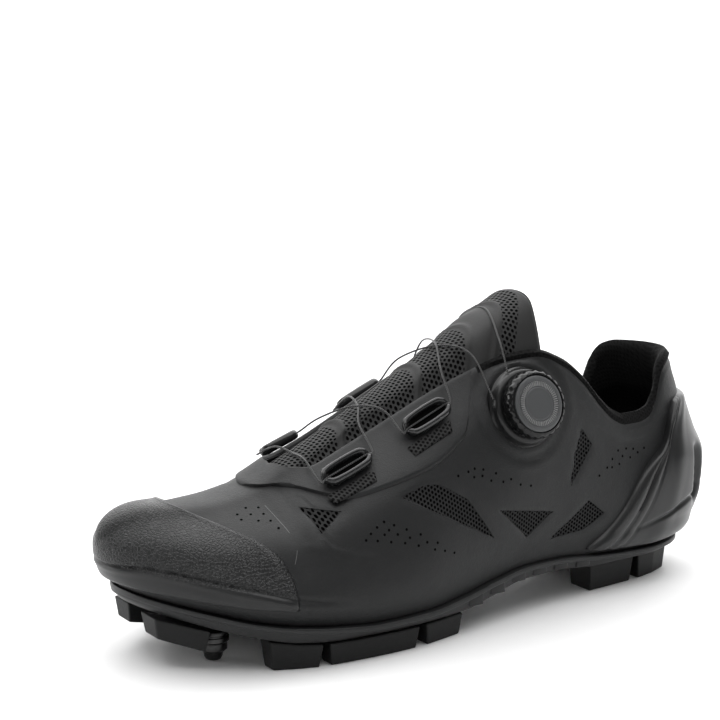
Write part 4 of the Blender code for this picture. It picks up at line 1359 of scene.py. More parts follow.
@dataclass
class Upper(Maker):
    """The upper's shell, with its windows, creases and padded collar."""

    columns: int = 190
    rows: int = 58
    window_depth: float = 0.0008
    dial_station: float = 0.388
    dial_height: float = 0.0897
    seat: np.ndarray = field(default_factory=lambda: np.zeros(3))
    weld: Table = table(
        (0.630, 0.288), (0.682, 0.362), (0.716, 0.389), (0.743, 0.411), (0.779, 0.433)
    )
    rim: float = 0.026
    rim_end: float = 0.44
    turn_reach: float = 0.022
    pinhole_radius: float = 0.00056
    # Flex creases behind the toe: station, slant and depth
    creases: Rows = (
        (0.765, 0.05, 0.0007),
        (0.785, -0.03, 0.0005),
        (0.700, 0.02, 0.0004),
    )
    # Embossed rings round the dial: height, radius and reach
    rings: Rows = (
        (0.0009, 0.0185, 0.0022),
        (-0.0004, 0.0215, 0.0020),
        (0.0004, 0.0255, 0.0022),
    )

    def build(self) -> None:
        """Makes the shell with its lining, and the punched holes as near-black discs of painted shade."""
        middle = FORM.v_at(self.dial_station, self.dial_height, 1)
        self.seat = FORM.point(FORM.u_of(self.dial_station), middle)
        bm = bmesh.new()
        self.halves(bm, self.columns, self.rows)
        for face in bm.faces:
            face.material_index = int(self.is_rim(*face.calc_center_median().xy))
        self.wall(bm, self.place, self.outer, self.inner, 1)
        materials = (finish_of("microfibre", Microfibre()), finish_of("lining", Lining()))
        self.hand_over(bm, "upper_shell", Slot.UPPER, materials, ["upper"], 50)
        self.pinhole_shade_discs()

    def place(self, a: float, b: float) -> tuple[float, float]:
        """Gives u and v. Rows crowd together at the top edge, where the wall turns over.

        Args:
            a: The sheet's coordinate along the shoe.
            b: The one across, with the side's sign.

        Returns:
            The u and v.
        """
        side = 1 if b > 0 else -1
        share = abs(b)
        row = share * 0.93 + 0.07 * smooth(share) if share < 1 else 1.0
        edge = FORM.throat_edge(a)
        v = 1 - (1 - edge) * clamp(row)
        return a, side * (v if v > 1e-7 else 0.0)

    def is_rim(self, a: float, b: float) -> bool:
        """Whether a place lies on the padded rim, where the lining is turned out over the collar's edge."""
        u, v = self.place(a, b)
        return FORM.station(u) < self.rim_end and abs(v) - FORM.throat_edge(u) < self.rim

    def turn_over(self, spot: Spot) -> float:
        """0 on the shell and 1 at its top edge, where the wall's face turns over.

        Args:
            spot: The place.

        Returns:
            The share.
        """
        edge = FORM.throat_edge(spot.u)
        if edge <= 0:
            return 0.0
        reach = (abs(spot.v) - edge) / self.turn_reach
        return 1 - math.sqrt(max(0.0, 1 - (1 - clamp(reach)) ** 2))

    def outer(self, spot: Spot) -> float:
        """The outer face's offset: windows, dial ring, rand groove, flex creases and turned-over edge.

        Args:
            spot: The place.

        Returns:
            The offset.
        """
        v, point, station = spot.v, spot.point, spot.station
        lift = 0.0
        side = Side.OUTER if v > 0 else Side.INNER
        for window in WINDOWS:
            if window.side == side and abs(v) > FORM.throat_line:
                outside = window.outside(point[0], point[2])
                lift -= self.window_depth * smooth(0.5 - outside / 0.0012)
        below = abs(v) - FORM.rand.read(station)
        lift -= 0.0009 * bump(below, 0.0, 0.025) * smooth((station - 0.70) / 0.10)
        lift += 0.0005 * bump(below, 0.055, 0.05) * smooth((station - 0.70) / 0.10)
        lift += self.rim_roll(abs(v) - FORM.throat_edge(spot.u), station)
        if v > 0:
            lift += self.dial_ring(point)
            lift += 0.0005 * self.ridge_line(point, station)
        for middle, slant, depth in self.creases:
            place = middle + slant * (abs(v) - 0.3)
            lift -= depth * bump(station, place, 0.014) * bump(abs(v), 0.36, 0.34)
        return lift - FORM.wall * 0.5 * self.turn_over(spot)

    def rim_roll(self, distance: float, station: float) -> float:
        """The roll of the padded rim and the groove under it, at a distance from the top edge."""
        fade = smooth((self.rim_end - station) / 0.03)
        return fade * (0.0006 * bump(distance, 0.018, 0.020) - 0.0009 * bump(distance, self.rim, 0.010))

    def dial_ring(self, point: np.ndarray) -> float:
        """The height of the embossed rings round the dial at a point."""
        distance = float(np.linalg.norm(point - self.seat))
        return sum(height * bump(distance, radius, reach) for height, radius, reach in self.rings)

    def ridge_line(self, point: np.ndarray, station: float) -> float:
        """The raised weld line along the forefoot's outer side.

        Args:
            point: The point.
            station: Its station.

        Returns:
            1 on the line and 0 beside it.
        """
        height = self.weld.read(station) * FORM.instep_height
        fade = smooth((station - 0.64) / 0.03) * smooth((0.785 - station) / 0.02)
        return fade * bump(float(point[2]), height, 0.0012)

    def inner(self, spot: Spot) -> float:
        """The inner face's offset, with the collar's padding."""
        depth = FORM.wall + FORM.padding(spot.u, spot.v)
        return -depth * (1 - 0.5 * self.turn_over(spot))

    def pinhole_shade_discs(self) -> None:
        """Small punched holes in groups, as rows of station and height shares, each drawn as a near-black
        disc of painted shade.
        """
        rows = (
            (0.814, 0.528), (0.799, 0.529), (0.814, 0.513), (0.799, 0.514), (0.830, 0.501), (0.811, 0.498),
            (0.797, 0.498), (0.794, 0.480), (0.830, 0.513),
            (0.688, 0.427), (0.679, 0.446), (0.668, 0.464), (0.656, 0.479), (0.671, 0.420), (0.659, 0.437),
            (0.651, 0.450), (0.642, 0.464), (0.651, 0.410), (0.639, 0.432), (0.630, 0.400), (0.624, 0.444),
            (0.621, 0.415), (0.603, 0.420), (0.609, 0.384), (0.594, 0.390), (0.582, 0.360), (0.576, 0.381),
            (0.564, 0.347), (0.546, 0.331),
            (0.522, 0.592), (0.503, 0.600), (0.491, 0.607), (0.494, 0.578), (0.479, 0.577), (0.476, 0.599),
            (0.464, 0.555), (0.454, 0.578), (0.442, 0.543), (0.427, 0.547), (0.409, 0.520), (0.388, 0.507),
            (0.242, 0.486), (0.224, 0.510), (0.213, 0.507), (0.211, 0.538), (0.196, 0.513), (0.196, 0.565),
            (0.187, 0.540), (0.177, 0.566), (0.170, 0.529), (0.161, 0.559), (0.152, 0.542), (0.137, 0.554),
        )  # fmt: skip
        bm = bmesh.new()
        for side in Side:
            for station, height in rows:
                v = FORM.v_at(station, height * FORM.instep_height, side.value)
                frame = FORM.frame(station, v, 0.00006)
                size = self.pinhole_radius
                bmesh.ops.create_circle(bm, cap_ends=True, segments=8, radius=size, matrix=frame)
        # Painted shade: each punched hole is a near-black disc lying on the surface.
        self.hand_over(bm, "pinhole_shade_discs", Slot.UPPER, [finish_of("pinhole_shade", Plain(0.002, 0.9))])


@dataclass
class Overlays(Maker):
    """The bonded layers on the upper: eyestay, toe cap and heel counter."""

    film: float = 0.0013
    toe_film: float = 0.0017
    counter_wall: float = 0.0024
    # The v where the toe cap and the counter end below, and how far the counter reaches up from there
    toe_low: float = 0.84
    counter_low: float = 0.97
    counter_band: float = 0.57
    # Ribs along the counter's front line: how far forward, height and reach
    ribs: Rows = (
        (0.950, 0.0003, 0.020),
        (0.915, -0.0006, 0.012),
        (0.888, 0.0003, 0.014),
        (0.860, -0.0005, 0.010),
        (0.690, 0.0003, 0.090),
    )
    spur: float = 0.0085
    # How far the layers sink into the upper, and how far they stay off it at their edges
    sink: float = 0.0004
    clear: float = 0.00005
    eyestay_low: Table = table(
        (0.450, 0.212), (0.500, 0.400), (0.555, 0.424), (0.600, 0.414),
        (0.645, 0.396), (0.690, 0.370), (0.715, 0.322), (0.740, 0.250),
        (0.762, 0.180), (0.779, 0.110), (0.787, 0.060), (0.792, 0.000),
    )
    toe_line: Table = table(
        (0.00, 0.905), (0.05, 0.903), (0.20, 0.877), (0.33, 0.845),
        (0.40, 0.825), (0.52, 0.806), (0.66, 0.798), (0.84, 0.796),
    )
    counter_line: Table = table(
        (0.40, 0.062), (0.44, 0.090), (0.49, 0.130), (0.56, 0.157),
        (0.71, 0.190), (0.83, 0.219), (0.91, 0.242), (0.97, 0.258),
    )
    spur_reach: Table = table(
        (0.14, 0.15), (0.22, 0.55), (0.34, 1.00), (0.48, 0.95), (0.58, 0.45), (0.70, 0.10), (0.80, 0.00)
    )

    def build(self) -> None:
        """Makes the three layers."""
        self.eyestay()
        self.toe_cap()
        self.counter()

    def eyestay(self) -> None:
        """The overlay round the throat."""
        start, end = (FORM.u_of(station) for station in self.eyestay_low.stations[[0, -1]])

        def place(a: float, b: float) -> tuple[float, float]:
            """Gives u and v.

            Args:
                a: The place along the layer.
                b: The one across, with the side's sign.

            Returns:
                The u and v.
            """
            u = start + (end - start) * a
            high = FORM.throat_edge(u) * 1.02
            low = max(high, self.eyestay_low.read(FORM.station(u)))
            side = 1 if b > 0 else -1
            return u, side * (low + (high - low) * clamp(abs(b)))

        def outer(spot: Spot) -> float:
            """The outer face's offset.

            Args:
                spot: The place.

            Returns:
                The offset.
            """
            edge = clamp(abs(spot.b) / 0.05)
            lift = self.film * arc(edge)
            high = FORM.throat_edge(spot.u)
            top = (abs(spot.v) - high) / 0.012 if high > 0 else 1.0
            ends = clamp(min(spot.a / 0.50, (1 - spot.a) / 0.03))
            lift = lift * math.sqrt(clamp(top)) * arc(ends)
            return self.clear + lift - 0.0001 * (1 - clamp(top))

        bm = bmesh.new()
        self.halves(bm, 110, 26)
        self.wall(bm, place, outer, lambda spot: -self.sink)
        material = finish_of("eyestay_film", Microfibre(0.0115, 0.52, False))
        self.hand_over(bm, "eyestay_overlay", Slot.UPPER, [material], ["eyestay"], 60)

    def toe_cap(self) -> None:
        """The grained cap over the toe, with a thin edge."""

        def place(a: float, b: float) -> tuple[float, float]:
            """Gives u and v.

            Args:
                a: The place along the layer.
                b: The one across, with the side's sign.

            Returns:
                The u and v.
            """
            side = 1 if b > 0 else -1
            v = self.toe_low * (1 - clamp(abs(b)))
            start = FORM.u_of(self.toe_line.read(v))
            return start + (1 - start) * a, side * (v if v > 1e-7 else 0.0)

        def outer(spot: Spot) -> float:
            """The outer face's offset.

            Args:
                spot: The place.

            Returns:
                The offset.
            """
            edge = min(clamp(spot.a / 0.05), clamp(abs(spot.b) / 0.03))
            below = abs(spot.v) - FORM.rand.read(spot.station)
            lip = 0.0003 * bump(spot.a, 0.035, 0.03) - 0.0010 * bump(below, 0.0, 0.028) * edge
            rise = self.toe_film * arc(edge)
            return self.clear + rise + lip + 0.0003 * bump(below, 0.05, 0.05)

        bm = bmesh.new()
        self.halves(bm, 70, 60)
        self.wall(bm, place, outer, lambda spot: -self.sink)
        material = finish_of("grained_film", GrainedFilm())
        self.hand_over(bm, "toe_cap_film", Slot.TOE_CAP, [material], ["toe_cap"], 60)

    def counter(self) -> None:
        """The glossy moulded counter with its ridges and the recess in its spur."""

        def place(a: float, b: float) -> tuple[float, float]:
            """Gives u and v.

            Args:
                a: The place along the layer.
                b: The one across, with the side's sign.

            Returns:
                The u and v.
            """
            side = 1 if b > 0 else -1
            v = self.counter_low - self.counter_band * clamp(abs(b))
            return FORM.u_of(self.counter_line.read(v)) * a, side * v

        def outer(spot: Spot) -> float:
            """The outer face's offset.

            Args:
                spot: The place.

            Returns:
                The offset.
            """
            a, b, height = spot.a, spot.b, spot.height
            fade = max(0.0, 1 - spot.station / 0.20)
            lift = self.counter_wall + self.spur * self.spur_reach.read(height) * fade * fade
            for middle, rise, reach in self.ribs:
                lift += rise * bump(a, middle, reach) * smooth((0.90 - height) / 0.1)
            slot = bump(a, 0.43 + 0.4 * (height - 0.41), 0.10) * bump(height, 0.41, 0.15)
            lift -= 0.0046 * smooth(slot * 2.2)
            lift -= 0.0014 * bump(a, 0.38 + 4.1 * (0.36 - height), 0.09) * bump(height, 0.31, 0.08)
            lift += 0.0009 * bump(height, 0.21, 0.05)
            edge = min(clamp((1 - a) / 0.035), clamp(abs(b) / 0.03), clamp((1 - abs(b)) / 0.04))
            return self.clear + lift * arc(edge)

        bm = bmesh.new()
        self.halves(bm, 84, 84)
        self.wall(bm, place, outer, lambda spot: -self.sink)
        material = finish_of("counter_gloss", Gloss(0.010, 0.36, 0.0003, 0.35))
        self.hand_over(bm, "heel_counter_shell", Slot.COUNTER, [material], ["heel_counter"], 60)


@dataclass
class Tongue(Maker):
    """The padded tongue and its bound top."""

    top: float = 0.328
    front: float = 0.785
    roundness: float = 0.012
    width: float = 0.285
    taper: float = 0.10
    gap: float = 0.0014
    edge: float = 0.0016
    thickness: float = 0.0050
    bound: float = 0.022
    # Raised lines across the tongue and its padded top: station, height and reach
    borders: Rows = (
        (0.366, 0.0009, 0.007),
        (0.395, 0.0007, 0.026),
        (0.421, 0.0008, 0.007),
        (0.510, 0.0010, 0.008),
        (0.640, 0.0010, 0.008),
        (0.748, 0.0009, 0.008),
    )

    def place(self, a: float, b: float) -> tuple[float, float]:
        """Gives u and v for the sheet's coordinates.

        Args:
            a: The coordinate along the shoe.
            b: The one across.

        Returns:
            The u and v.
        """
        v = 2 * b - 1
        station = self.top + self.roundness * abs(v) ** 3 * (1 - a) ** 4 + (self.front - self.top) * a
        return FORM.u_of(station), (self.width - self.taper * a) * v

    def outer(self, spot: Spot) -> float:
        """The face towards the wire: raised cross lines, and a soft bound top edge.

        Args:
            spot: The place.

        Returns:
            The offset.
        """
        lift = -FORM.wall - self.gap * 0.5
        top = clamp(spot.a / self.bound)
        lift -= 0.0018 * (1 - arc(top))
        y = float(spot.point[1])
        bowed = spot.station - y * y * TONGUE_BOW / FORM.length
        for middle, height, reach in self.borders:
            lift += height * bump(bowed, middle, reach)
        return lift

    def inner(self, spot: Spot) -> float:
        """The face towards the foot.

        Args:
            spot: The place.

        Returns:
            The offset.
        """
        a, v = spot.a, spot.v
        reach = max(0.0, 1 - abs(v) / (self.width - self.taper * a)) ** 0.5
        tip = min(1.0, a / 0.10) ** 0.5
        depth = FORM.wall + self.gap + self.edge + (self.thickness - self.edge) * reach * tip
        top = clamp(a / self.bound)
        return -depth + 0.0012 * (1 - arc(top))

    def build(self) -> None:
        """Makes the tongue."""
        bm = bmesh.new()
        self.grid(bm, 150, 60, lambda a, b: (a, b))
        self.wall(bm, self.place, self.outer, self.inner, 1, False)
        materials = (finish_of("tongue_mesh", TongueMesh()), finish_of("lining", Lining()))
        self.hand_over(bm, "tongue_pad", Slot.PADDING, materials, ["tongue"], 60)


@dataclass
class Bottom(Maker):
    """The insole, sole plate, cleat plate and lugs."""

    margin: float = 0.0012
    flange: float = 0.0022
    inset: float = 0.0026
    insole: float = 0.0040
    tab_count: int = 6
    tab_start: float = 0.262
    tab_end: float = 0.492
    dot_pitch: float = 0.0030
    dot_radius: float = 0.0008
    # The grip dots' fields: corners as station and share of the half width
    dot_fields: tuple[Rows, ...] = (
        ((0.345, 0.45), (0.395, 0.62), (0.470, 0.30), (0.430, 0.05)),
        ((0.300, 0.10), (0.360, 0.30), (0.440, -0.05), (0.390, -0.40)),
        ((0.250, -0.25), (0.310, 0.02), (0.372, -0.38), (0.330, -0.58)),
    )

    def strip(
        self, bm: bmesh.types.BMesh, columns: int, rows: int, ring: Callable[[float, float], Vector]
    ) -> None:
        """Adds a closed band.

        Args:
            bm: The mesh that it goes into.
            columns: Its steps from heel to toe.
            rows: Its steps round.
            ring: Gives a point of the section at u, t of the way round it.
        """
        made = bmesh.ops.create_grid(bm, x_segments=columns, y_segments=rows, size=0.5)
        for vert in made["verts"]:
            u, t = vert.co.x + 0.5, vert.co.y + 0.5
            vert.co = ring(clamp(u), t % 1.0 if t < 1 - 1e-6 else 0.0)
        bmesh.ops.remove_doubles(bm, verts=bm.verts, dist=2e-6)
        bmesh.ops.dissolve_degenerate(bm, edges=bm.edges, dist=1e-7)
        bmesh.ops.recalc_face_normals(bm, faces=bm.faces)

    @staticmethod
    def walk(path: Sequence[tuple[float, float]], t: float) -> tuple[float, float]:
        """The point t of the way along a path, each step of which counts alike.

        Args:
            path: Its points.
            t: The share of the way.

        Returns:
            The point.
        """
        place = t * (len(path) - 1)
        i = min(len(path) - 2, int(place))
        share = place - i
        return tuple(p + (q - p) * share for p, q in zip(path[i], path[i + 1]))

    def sole_ring(self, u: float, t: float) -> Vector:
        """The sole plate's section: half a turn for each side, from the top's middle to the bottom's.

        Args:
            u: From heel to toe.
            t: The share of the way round.

        Returns:
            The point.
        """
        side = 1 if t < 0.5 else -1
        t = t * 2 if t < 0.5 else (1 - t) * 2
        station = FORM.station(u)
        lean = FORM.lean(station, 0)
        half = FORM.half_width(station) + self.margin * FORM.outline_round(station)
        inner = max(0.0, half - self.inset * FORM.outline_round(station))
        top, foot = FORM.ledge(station), FORM.underside(station)
        soft = min(0.0006, half * 0.3)
        path = [
            (0.0, top),
            (half * 0.5, top),
            (half - soft, top),
            (half - soft * 0.3, top - soft * 0.3),
            (half, top - soft),
            (half, top - self.flange + soft),
            (half - soft * 0.3, top - self.flange + soft * 0.3),
            (half - soft, top - self.flange),
            (inner + soft * 0.4, top - self.flange * 1.15),
            (inner, top - self.flange * 1.15 - soft),
            (inner * 0.985, foot + soft),
            (inner * 0.975, foot + soft * 0.3),
            (inner * 0.96, foot),
            (inner * 0.5, foot),
            (0.0, foot),
        ]
        y, z = self.walk(path, t)
        near_foot = smooth(1 - 2 * abs(z - foot) / max(1e-5, top - foot))
        x = FORM.x(station) + (station - 0.5) * 2 * (self.margin - self.inset * near_foot) + lean
        return Vector((x, FORM.centre(station) + side * y, z))

    def insole_ring(self, u: float, t: float) -> Vector:
        """The insole's section, with a rounded edge that stands above its middle.

        Args:
            u: From heel to toe.
            t: The share of the way round.

        Returns:
            The point.
        """
        side = 1 if t < 0.5 else -1
        t = t * 2 if t < 0.5 else (1 - t) * 2
        station = FORM.station(u)
        round_it = FORM.outline_round(station)
        clear = FORM.wall + 3 * FORM.gap
        half = max(0.0, FORM.half_width(station) * 0.955 - clear * round_it)
        base = FORM.ledge(station) + FORM.gap
        top = base + self.insole
        soft = min(0.0012, half * 0.3)
        path = [
            (0.0, top - 0.0012),
            (half * 0.4, top - 0.0010),
            (half * 0.7, top - 0.0004),
            (half - soft, top),
            (half - soft * 0.3, top - soft * 0.3),
            (half, top - soft),
            (half, base),
            (0.0, base),
        ]
        y, z = self.walk(path, t)
        x = FORM.x(station) + (station - 0.5) * -2.6 * clear + FORM.lean(station, 0)
        return Vector((x, FORM.centre(station) + side * y, z))

    def build(self) -> None:
        """Makes the fine pieces and dresses the lugs."""
        bm = bmesh.new()
        self.strip(bm, 150, 28, self.sole_ring)
        self.tabs(bm)
        moulding = finish_of("sole_moulding", Moulding())
        self.hand_over(bm, "sole_moulding", Slot.SOLE, [moulding], ["sole_plate"], 45)
        bm = bmesh.new()
        self.strip(bm, 100, 14, self.insole_ring)
        chart = bm.loops.layers.uv.new("chart")
        for face in bm.faces:
            for loop in face.loops:
                loop[chart].uv = loop.vert.co.xy * 1000
        lining = finish_of("lining", Lining())
        self.hand_over(bm, "insole_pad", Slot.PADDING, [lining], ["insole"], 60)
        self.lugs()
        self.patch()

    def tabs(self, bm: bmesh.types.BMesh) -> None:
        """The small steps along the arch.

        Args:
            bm: The sole's mesh, which they go into.
        """
        for i in range(self.tab_count):
            station = self.tab_start + (self.tab_end - self.tab_start) * i / (self.tab_count - 1)
            half = FORM.half_width(station)
            top, foot = FORM.ledge(station) - self.flange * 0.6, FORM.underside(station) + 0.0008
            for side in Side:
                y = FORM.centre(station) + side.value * (half - 0.0036)
                size = Matrix.Diagonal((0.0075, 0.006, top - foot, 1))
                place = Matrix.Translation((FORM.x(station), y, (top + foot) / 2)) @ size
                made = bmesh.ops.create_cube(bm, size=1, matrix=place)
                edges = list({edge for vert in made["verts"] for edge in vert.link_edges})
                bmesh.ops.bevel(
                    bm, geom=edges, offset=0.0006, segments=2, profile=0.5, affect="EDGES", material=-1
                )

    def lugs(self) -> None:
        """Gives the lugs soft edges and their rubber."""
        rubber = finish_of("rubber", Rubber())
        for name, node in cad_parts.items():
            if "_lug_" in name:
                dress(node, rubber, 0.0007)
            if name == "cleat_plate":
                dress(node, finish_of("woven_plate", WovenPlate()), 0.0003)

    def patch(self) -> None:
        """The grip dots under the arch, in three angular fields."""
        bm = bmesh.new()
        pitch = self.dot_pitch
        flat = Matrix.Diagonal((1, 1, 0.6, 1))
        for corners in self.dot_fields:
            points = [(FORM.x(s), FORM.centre(s) + w * FORM.half_width(s)) for s, w in corners]
            low, high = np.min(points, axis=0), np.max(points, axis=0)
            for i in range(int((high[0] - low[0]) / pitch) + 1):
                for j in range(int((high[1] - low[1]) / (pitch * 0.87)) + 1):
                    x = low[0] + (i + 0.5 * (j % 2)) * pitch
                    y = low[1] + j * pitch * 0.87
                    if self.within(points, x, y):
                        station = (x - FORM.middle_x) / FORM.length + 0.5
                        place = Matrix.Translation((x, y, FORM.underside(station) - 0.00005))
                        bmesh.ops.create_icosphere(
                            bm, subdivisions=1, radius=self.dot_radius, matrix=place @ flat
                        )
        self.hand_over(bm, "grip_dots", Slot.RUBBER, [finish_of("dots", Rubber(0.10))], (), 80)

    @staticmethod
    def within(points: Sequence[tuple[float, float]], x: float, y: float) -> bool:
        """Whether a place lies inside a convex field.

        Args:
            points: The field's corners.
            x: Along the shoe.
            y: Across it.

        Returns:
            True inside it.
        """
        turns = []
        for (ax, ay), (bx, by) in zip(points, list(points[1:]) + [points[0]]):
            turns.append((bx - ax) * (y - ay) - (by - ay) * (x - ax))
        return all(turn >= 0 for turn in turns) or all(turn <= 0 for turn in turns)


def dress(node: bpy.types.Object, material: bpy.types.Material, soft: float) -> None:
    """Gives a solid its material and soft edges.

    Args:
        node: The solid.
        material: Its finish.
        soft: How wide its edges are rounded, in metres.
    """
    for slot in node.material_slots:
        slot.material = material
    weld = node.modifiers.new("weld", "WELD")
    weld.merge_threshold = 1e-6
    bevel = node.modifiers.new("soft_edges", "BEVEL")
    bevel.width = soft
    bevel.segments = 2
    bevel.limit_method = "ANGLE"
    bevel.angle_limit = math.radians(30)


@dataclass
class Fasteners(Maker):
    """Toe studs and cleat bolts."""

    # The stud's turned profile, as radius and height under the toe
    stud: Rows = (
        (0.0, 0.0), (0.0064, 0.0), (0.0066, -0.0003), (0.0066, -0.0014), (0.0062, -0.0018),
        (0.0056, -0.0019), (0.0056, -0.0026), (0.0062, -0.0028), (0.0063, -0.0044), (0.0058, -0.0050),
        (0.0054, -0.0052), (0.0056, -0.0060), (0.0055, -0.0080), (0.0046, -0.0088), (0.0041, -0.0090),
        (0.0036, -0.0112), (0.0030, -0.0122), (0.0021, -0.0125), (0.0, -0.0125),
    )  # fmt: skip

    def build(self) -> None:
        """Makes the studs and bolts."""
        steel = finish_of("dark_steel", Metal(0.055, 0.34))
        for name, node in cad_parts.items():
            if name.startswith("toe_stud"):
                low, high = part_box(name)
                middle = Matrix.Translation(((low.x + high.x) / 2, (low.y + high.y) / 2, high.z))
                bm = self.turned(self.stud, middle, 48)
                self.hand_over(bm, f"{name}_spike", Slot.STEEL, [steel], [name], 40)
            if name.startswith("cleat_bolt"):
                dress(node, steel, 0.0002)


@dataclass
class Closure(Maker):
    """The dial, the wire, its guides and their webbing."""

    station: float = 0.388
    height: float = 0.0897
    base_radius: float = 0.0160
    base_height: float = 0.0040
    knob_height: float = 0.0068
    guide_length: float = 0.0235
    guide_width: float = 0.0105
    guide_height: float = 0.0046
    guide_bar: float = 0.0026
    shade_disc_level: float = 0.0012
    wire_radius: float = 0.00040
    wire_level: float = 0.0021
    wire_over_edge: float = 0.0024
    wire_over_tongue: float = -0.0020
    wire_crossing: float = 0.0014
    wire_from_dial: float = 0.020
    wire_to_dial: float = 0.050
    channel: float = 0.0026
    knob_ribs: int = 24
    tick_count: int = 60
    guides: tuple[GuideRow, ...] = (
        ("guide_inner_upper", 0.394, -0.290, 1.0, 0.0009, 1),
        ("guide_outer_upper", 0.542, 0.285, 1.0, 0.0022, 1),
        ("guide_inner_lower", 0.678, -0.285, 0.8, 0.0022, 1),
        ("guide_outer_lower", 0.674, 0.290, 1.0, 0.0022, -1),
        ("guide_inner_middle", 0.539, -0.290, 1.0, 0.0022, -1),
    )

    def build(self) -> None:
        """Makes all pieces of the closure."""
        self.dial()
        for guide in self.guides:
            self.guide(guide)
        self.wire(self.route())

    def dial_frame(self) -> Matrix:
        """The frame of the dial on the quarter."""
        return FORM.frame(self.station, FORM.v_at(self.station, self.height, 1), 0)

    def dial(self) -> None:
        """The base that sinks into the quarter, the ribbed knob and the cap with its ticks."""
        frame = self.dial_frame()
        foot = self.base_height
        base = [
            (0.0, foot), (0.0140, foot), (0.0150, foot - 0.0002), (0.0156, foot - 0.0008),
            (0.0160, foot - 0.0018), (0.0162, 0.0006), (0.0170, -0.0002), (0.0172, -0.0040), (0.0, -0.0040),
        ]  # fmt: skip
        bm = self.turned(base, frame, 72)
        satin = finish_of("dial_satin", Gloss(0.006, 0.30, 0.0001, 0.25))
        self.hand_over(bm, "dial_housing", Slot.DIAL, [satin], ["dial_base"], 40)
        top = foot + 0.0003 + self.knob_height
        knob = [
            (0.0, foot + 0.0003), (0.0138, foot + 0.0003), (0.0143, foot + 0.0010), (0.0145, foot + 0.0030),
            (0.0144, top - 0.0018), (0.0139, top - 0.0008), (0.0131, top - 0.0002), (0.0123, top),
            (0.0121, top - 0.0003), (0.0121, top - 0.0012), (0.0, top - 0.0012),
        ]  # fmt: skip
        bm = self.turned(knob, frame, 96)
        back = frame.inverted()
        for vert in bm.verts:
            local = back @ vert.co
            radius, angle = local.xy.length, math.atan2(local.y, local.x)
            if radius > 0.0135 and foot + 0.0006 < local.z < top - 0.0006:
                ribs = 0.5 + 0.5 * math.cos(angle * self.knob_ribs)
                local.xy *= 1 - 0.035 * (1 - ribs)
                vert.co = frame @ local
        gloss = finish_of("dial_gloss", Gloss(0.004, 0.16, 0.0001, 0.25))
        self.hand_over(bm, "dial_grip", Slot.DIAL, [gloss], ["dial_knob"], 40)
        cap = [
            (0.0, top + 0.00030), (0.0066, top + 0.00030), (0.0069, top + 0.00010), (0.0072, top + 0.00008),
            (0.0096, top + 0.00008), (0.0099, top + 0.00030), (0.0112, top + 0.00020),
            (0.0117, top - 0.00010), (0.0119, top - 0.00060), (0.0119, top - 0.0012), (0.0, top - 0.0012),
        ]  # fmt: skip
        bm = self.turned(cap, frame, 96)
        face = finish_of("dial_grey", Gloss(0.060, 0.40, 0.0001))
        self.hand_over(bm, "dial_face", Slot.DIAL_CAP, [face], ["dial_cap"], 30)
        self.ticks(frame, top)

    def ticks(self, frame: Matrix, top: float) -> None:
        """The ring of fine raised ticks round the cap.

        Args:
            frame: The dial's frame.
            top: The knob's height.
        """
        bm = bmesh.new()
        for i in range(self.tick_count):
            turn = Matrix.Rotation(2 * math.pi * i / self.tick_count, 4, "Z")
            size = Matrix.Diagonal((0.0019, 0.00036, 0.0004, 1))
            place = Matrix.Translation((0.0084, 0, top + 0.00024))
            bmesh.ops.create_cube(bm, size=1, matrix=frame @ turn @ place @ size)
        self.hand_over(bm, "dial_ticks", Slot.DIAL_CAP, [finish_of("tick_metal", Metal(0.60, 0.34))], (), 30)

    def guide(self, row: GuideRow) -> None:
        """A rounded loop with its channel, on a strip of webbing, and a near-black disc of painted shade in
        the channel.

        Args:
            row: The guide's row.
        """
        name, station, v, long, lift, _ = row
        frame = FORM.frame(station, v, lift)
        half = self.guide_length * long / 2
        radius = self.guide_width / 2
        bar = self.guide_bar / 2
        bm = bmesh.new()
        made = bmesh.ops.create_circle(bm, segments=16, radius=1.0)
        edges = list({edge for vert in made["verts"] for edge in vert.link_edges})
        for vert in made["verts"]:
            x, z = vert.co.x, vert.co.y
            rise = self.guide_height * 0.42
            vert.co = (radius - bar + x * bar * 0.96, 0, rise + z * rise)
        bmesh.ops.spin(bm, geom=list(made["verts"]) + edges, steps=40, use_merge=True, **FULL_TURN)
        bmesh.ops.remove_doubles(bm, verts=bm.verts, dist=1e-6)
        reach = half - radius
        for vert in bm.verts:
            along = smooth(0.5 + vert.co.x / (radius * 0.9)) * 2 - 1
            vert.co.x += reach * along
            middle = bump(vert.co.y, 0.0, 0.0017) * smooth((abs(vert.co.x) - reach) / 0.002)
            if vert.co.z > self.wire_level:
                vert.co.z -= (vert.co.z - self.wire_level + 0.0006) * middle * 0.9
        bmesh.ops.recalc_face_normals(bm, faces=bm.faces)
        bmesh.ops.transform(bm, matrix=frame, verts=bm.verts)
        gloss = finish_of("guide_gloss", Gloss(0.010, 0.20))
        self.hand_over(bm, f"{name}_loop", Slot.GUIDES, [gloss], [name], 60)
        # Painted shade: a near-black disc inside the loop, where its channel is dark.
        bm = bmesh.new()
        size = Matrix.Diagonal((half - bar * 1.6, radius - bar * 1.4, 1, 1))
        place = frame @ Matrix.Translation((0, 0, self.shade_disc_level)) @ size
        bmesh.ops.create_circle(bm, cap_ends=True, segments=24, radius=1.0, matrix=place)
        self.hand_over(bm, f"{name}_slot", Slot.GUIDES, [finish_of("slot", Plain(0.003, 0.8))])
        self.webbing(name, station, v, half, lift - 0.0006)

    def webbing(self, name: str, station: float, v: float, half: float, rise: float) -> None:
        """The strip of webbing that ties a guide down, below it.

        Args:
            name: The guide's name.
            station: The guide's place along the shoe.
            v: Its place across the shoe.
            half: Half its length.
            rise: The height that the strip lies at.
        """
        width = half / FORM.length * 0.92
        side = 1 if v > 0 else -1

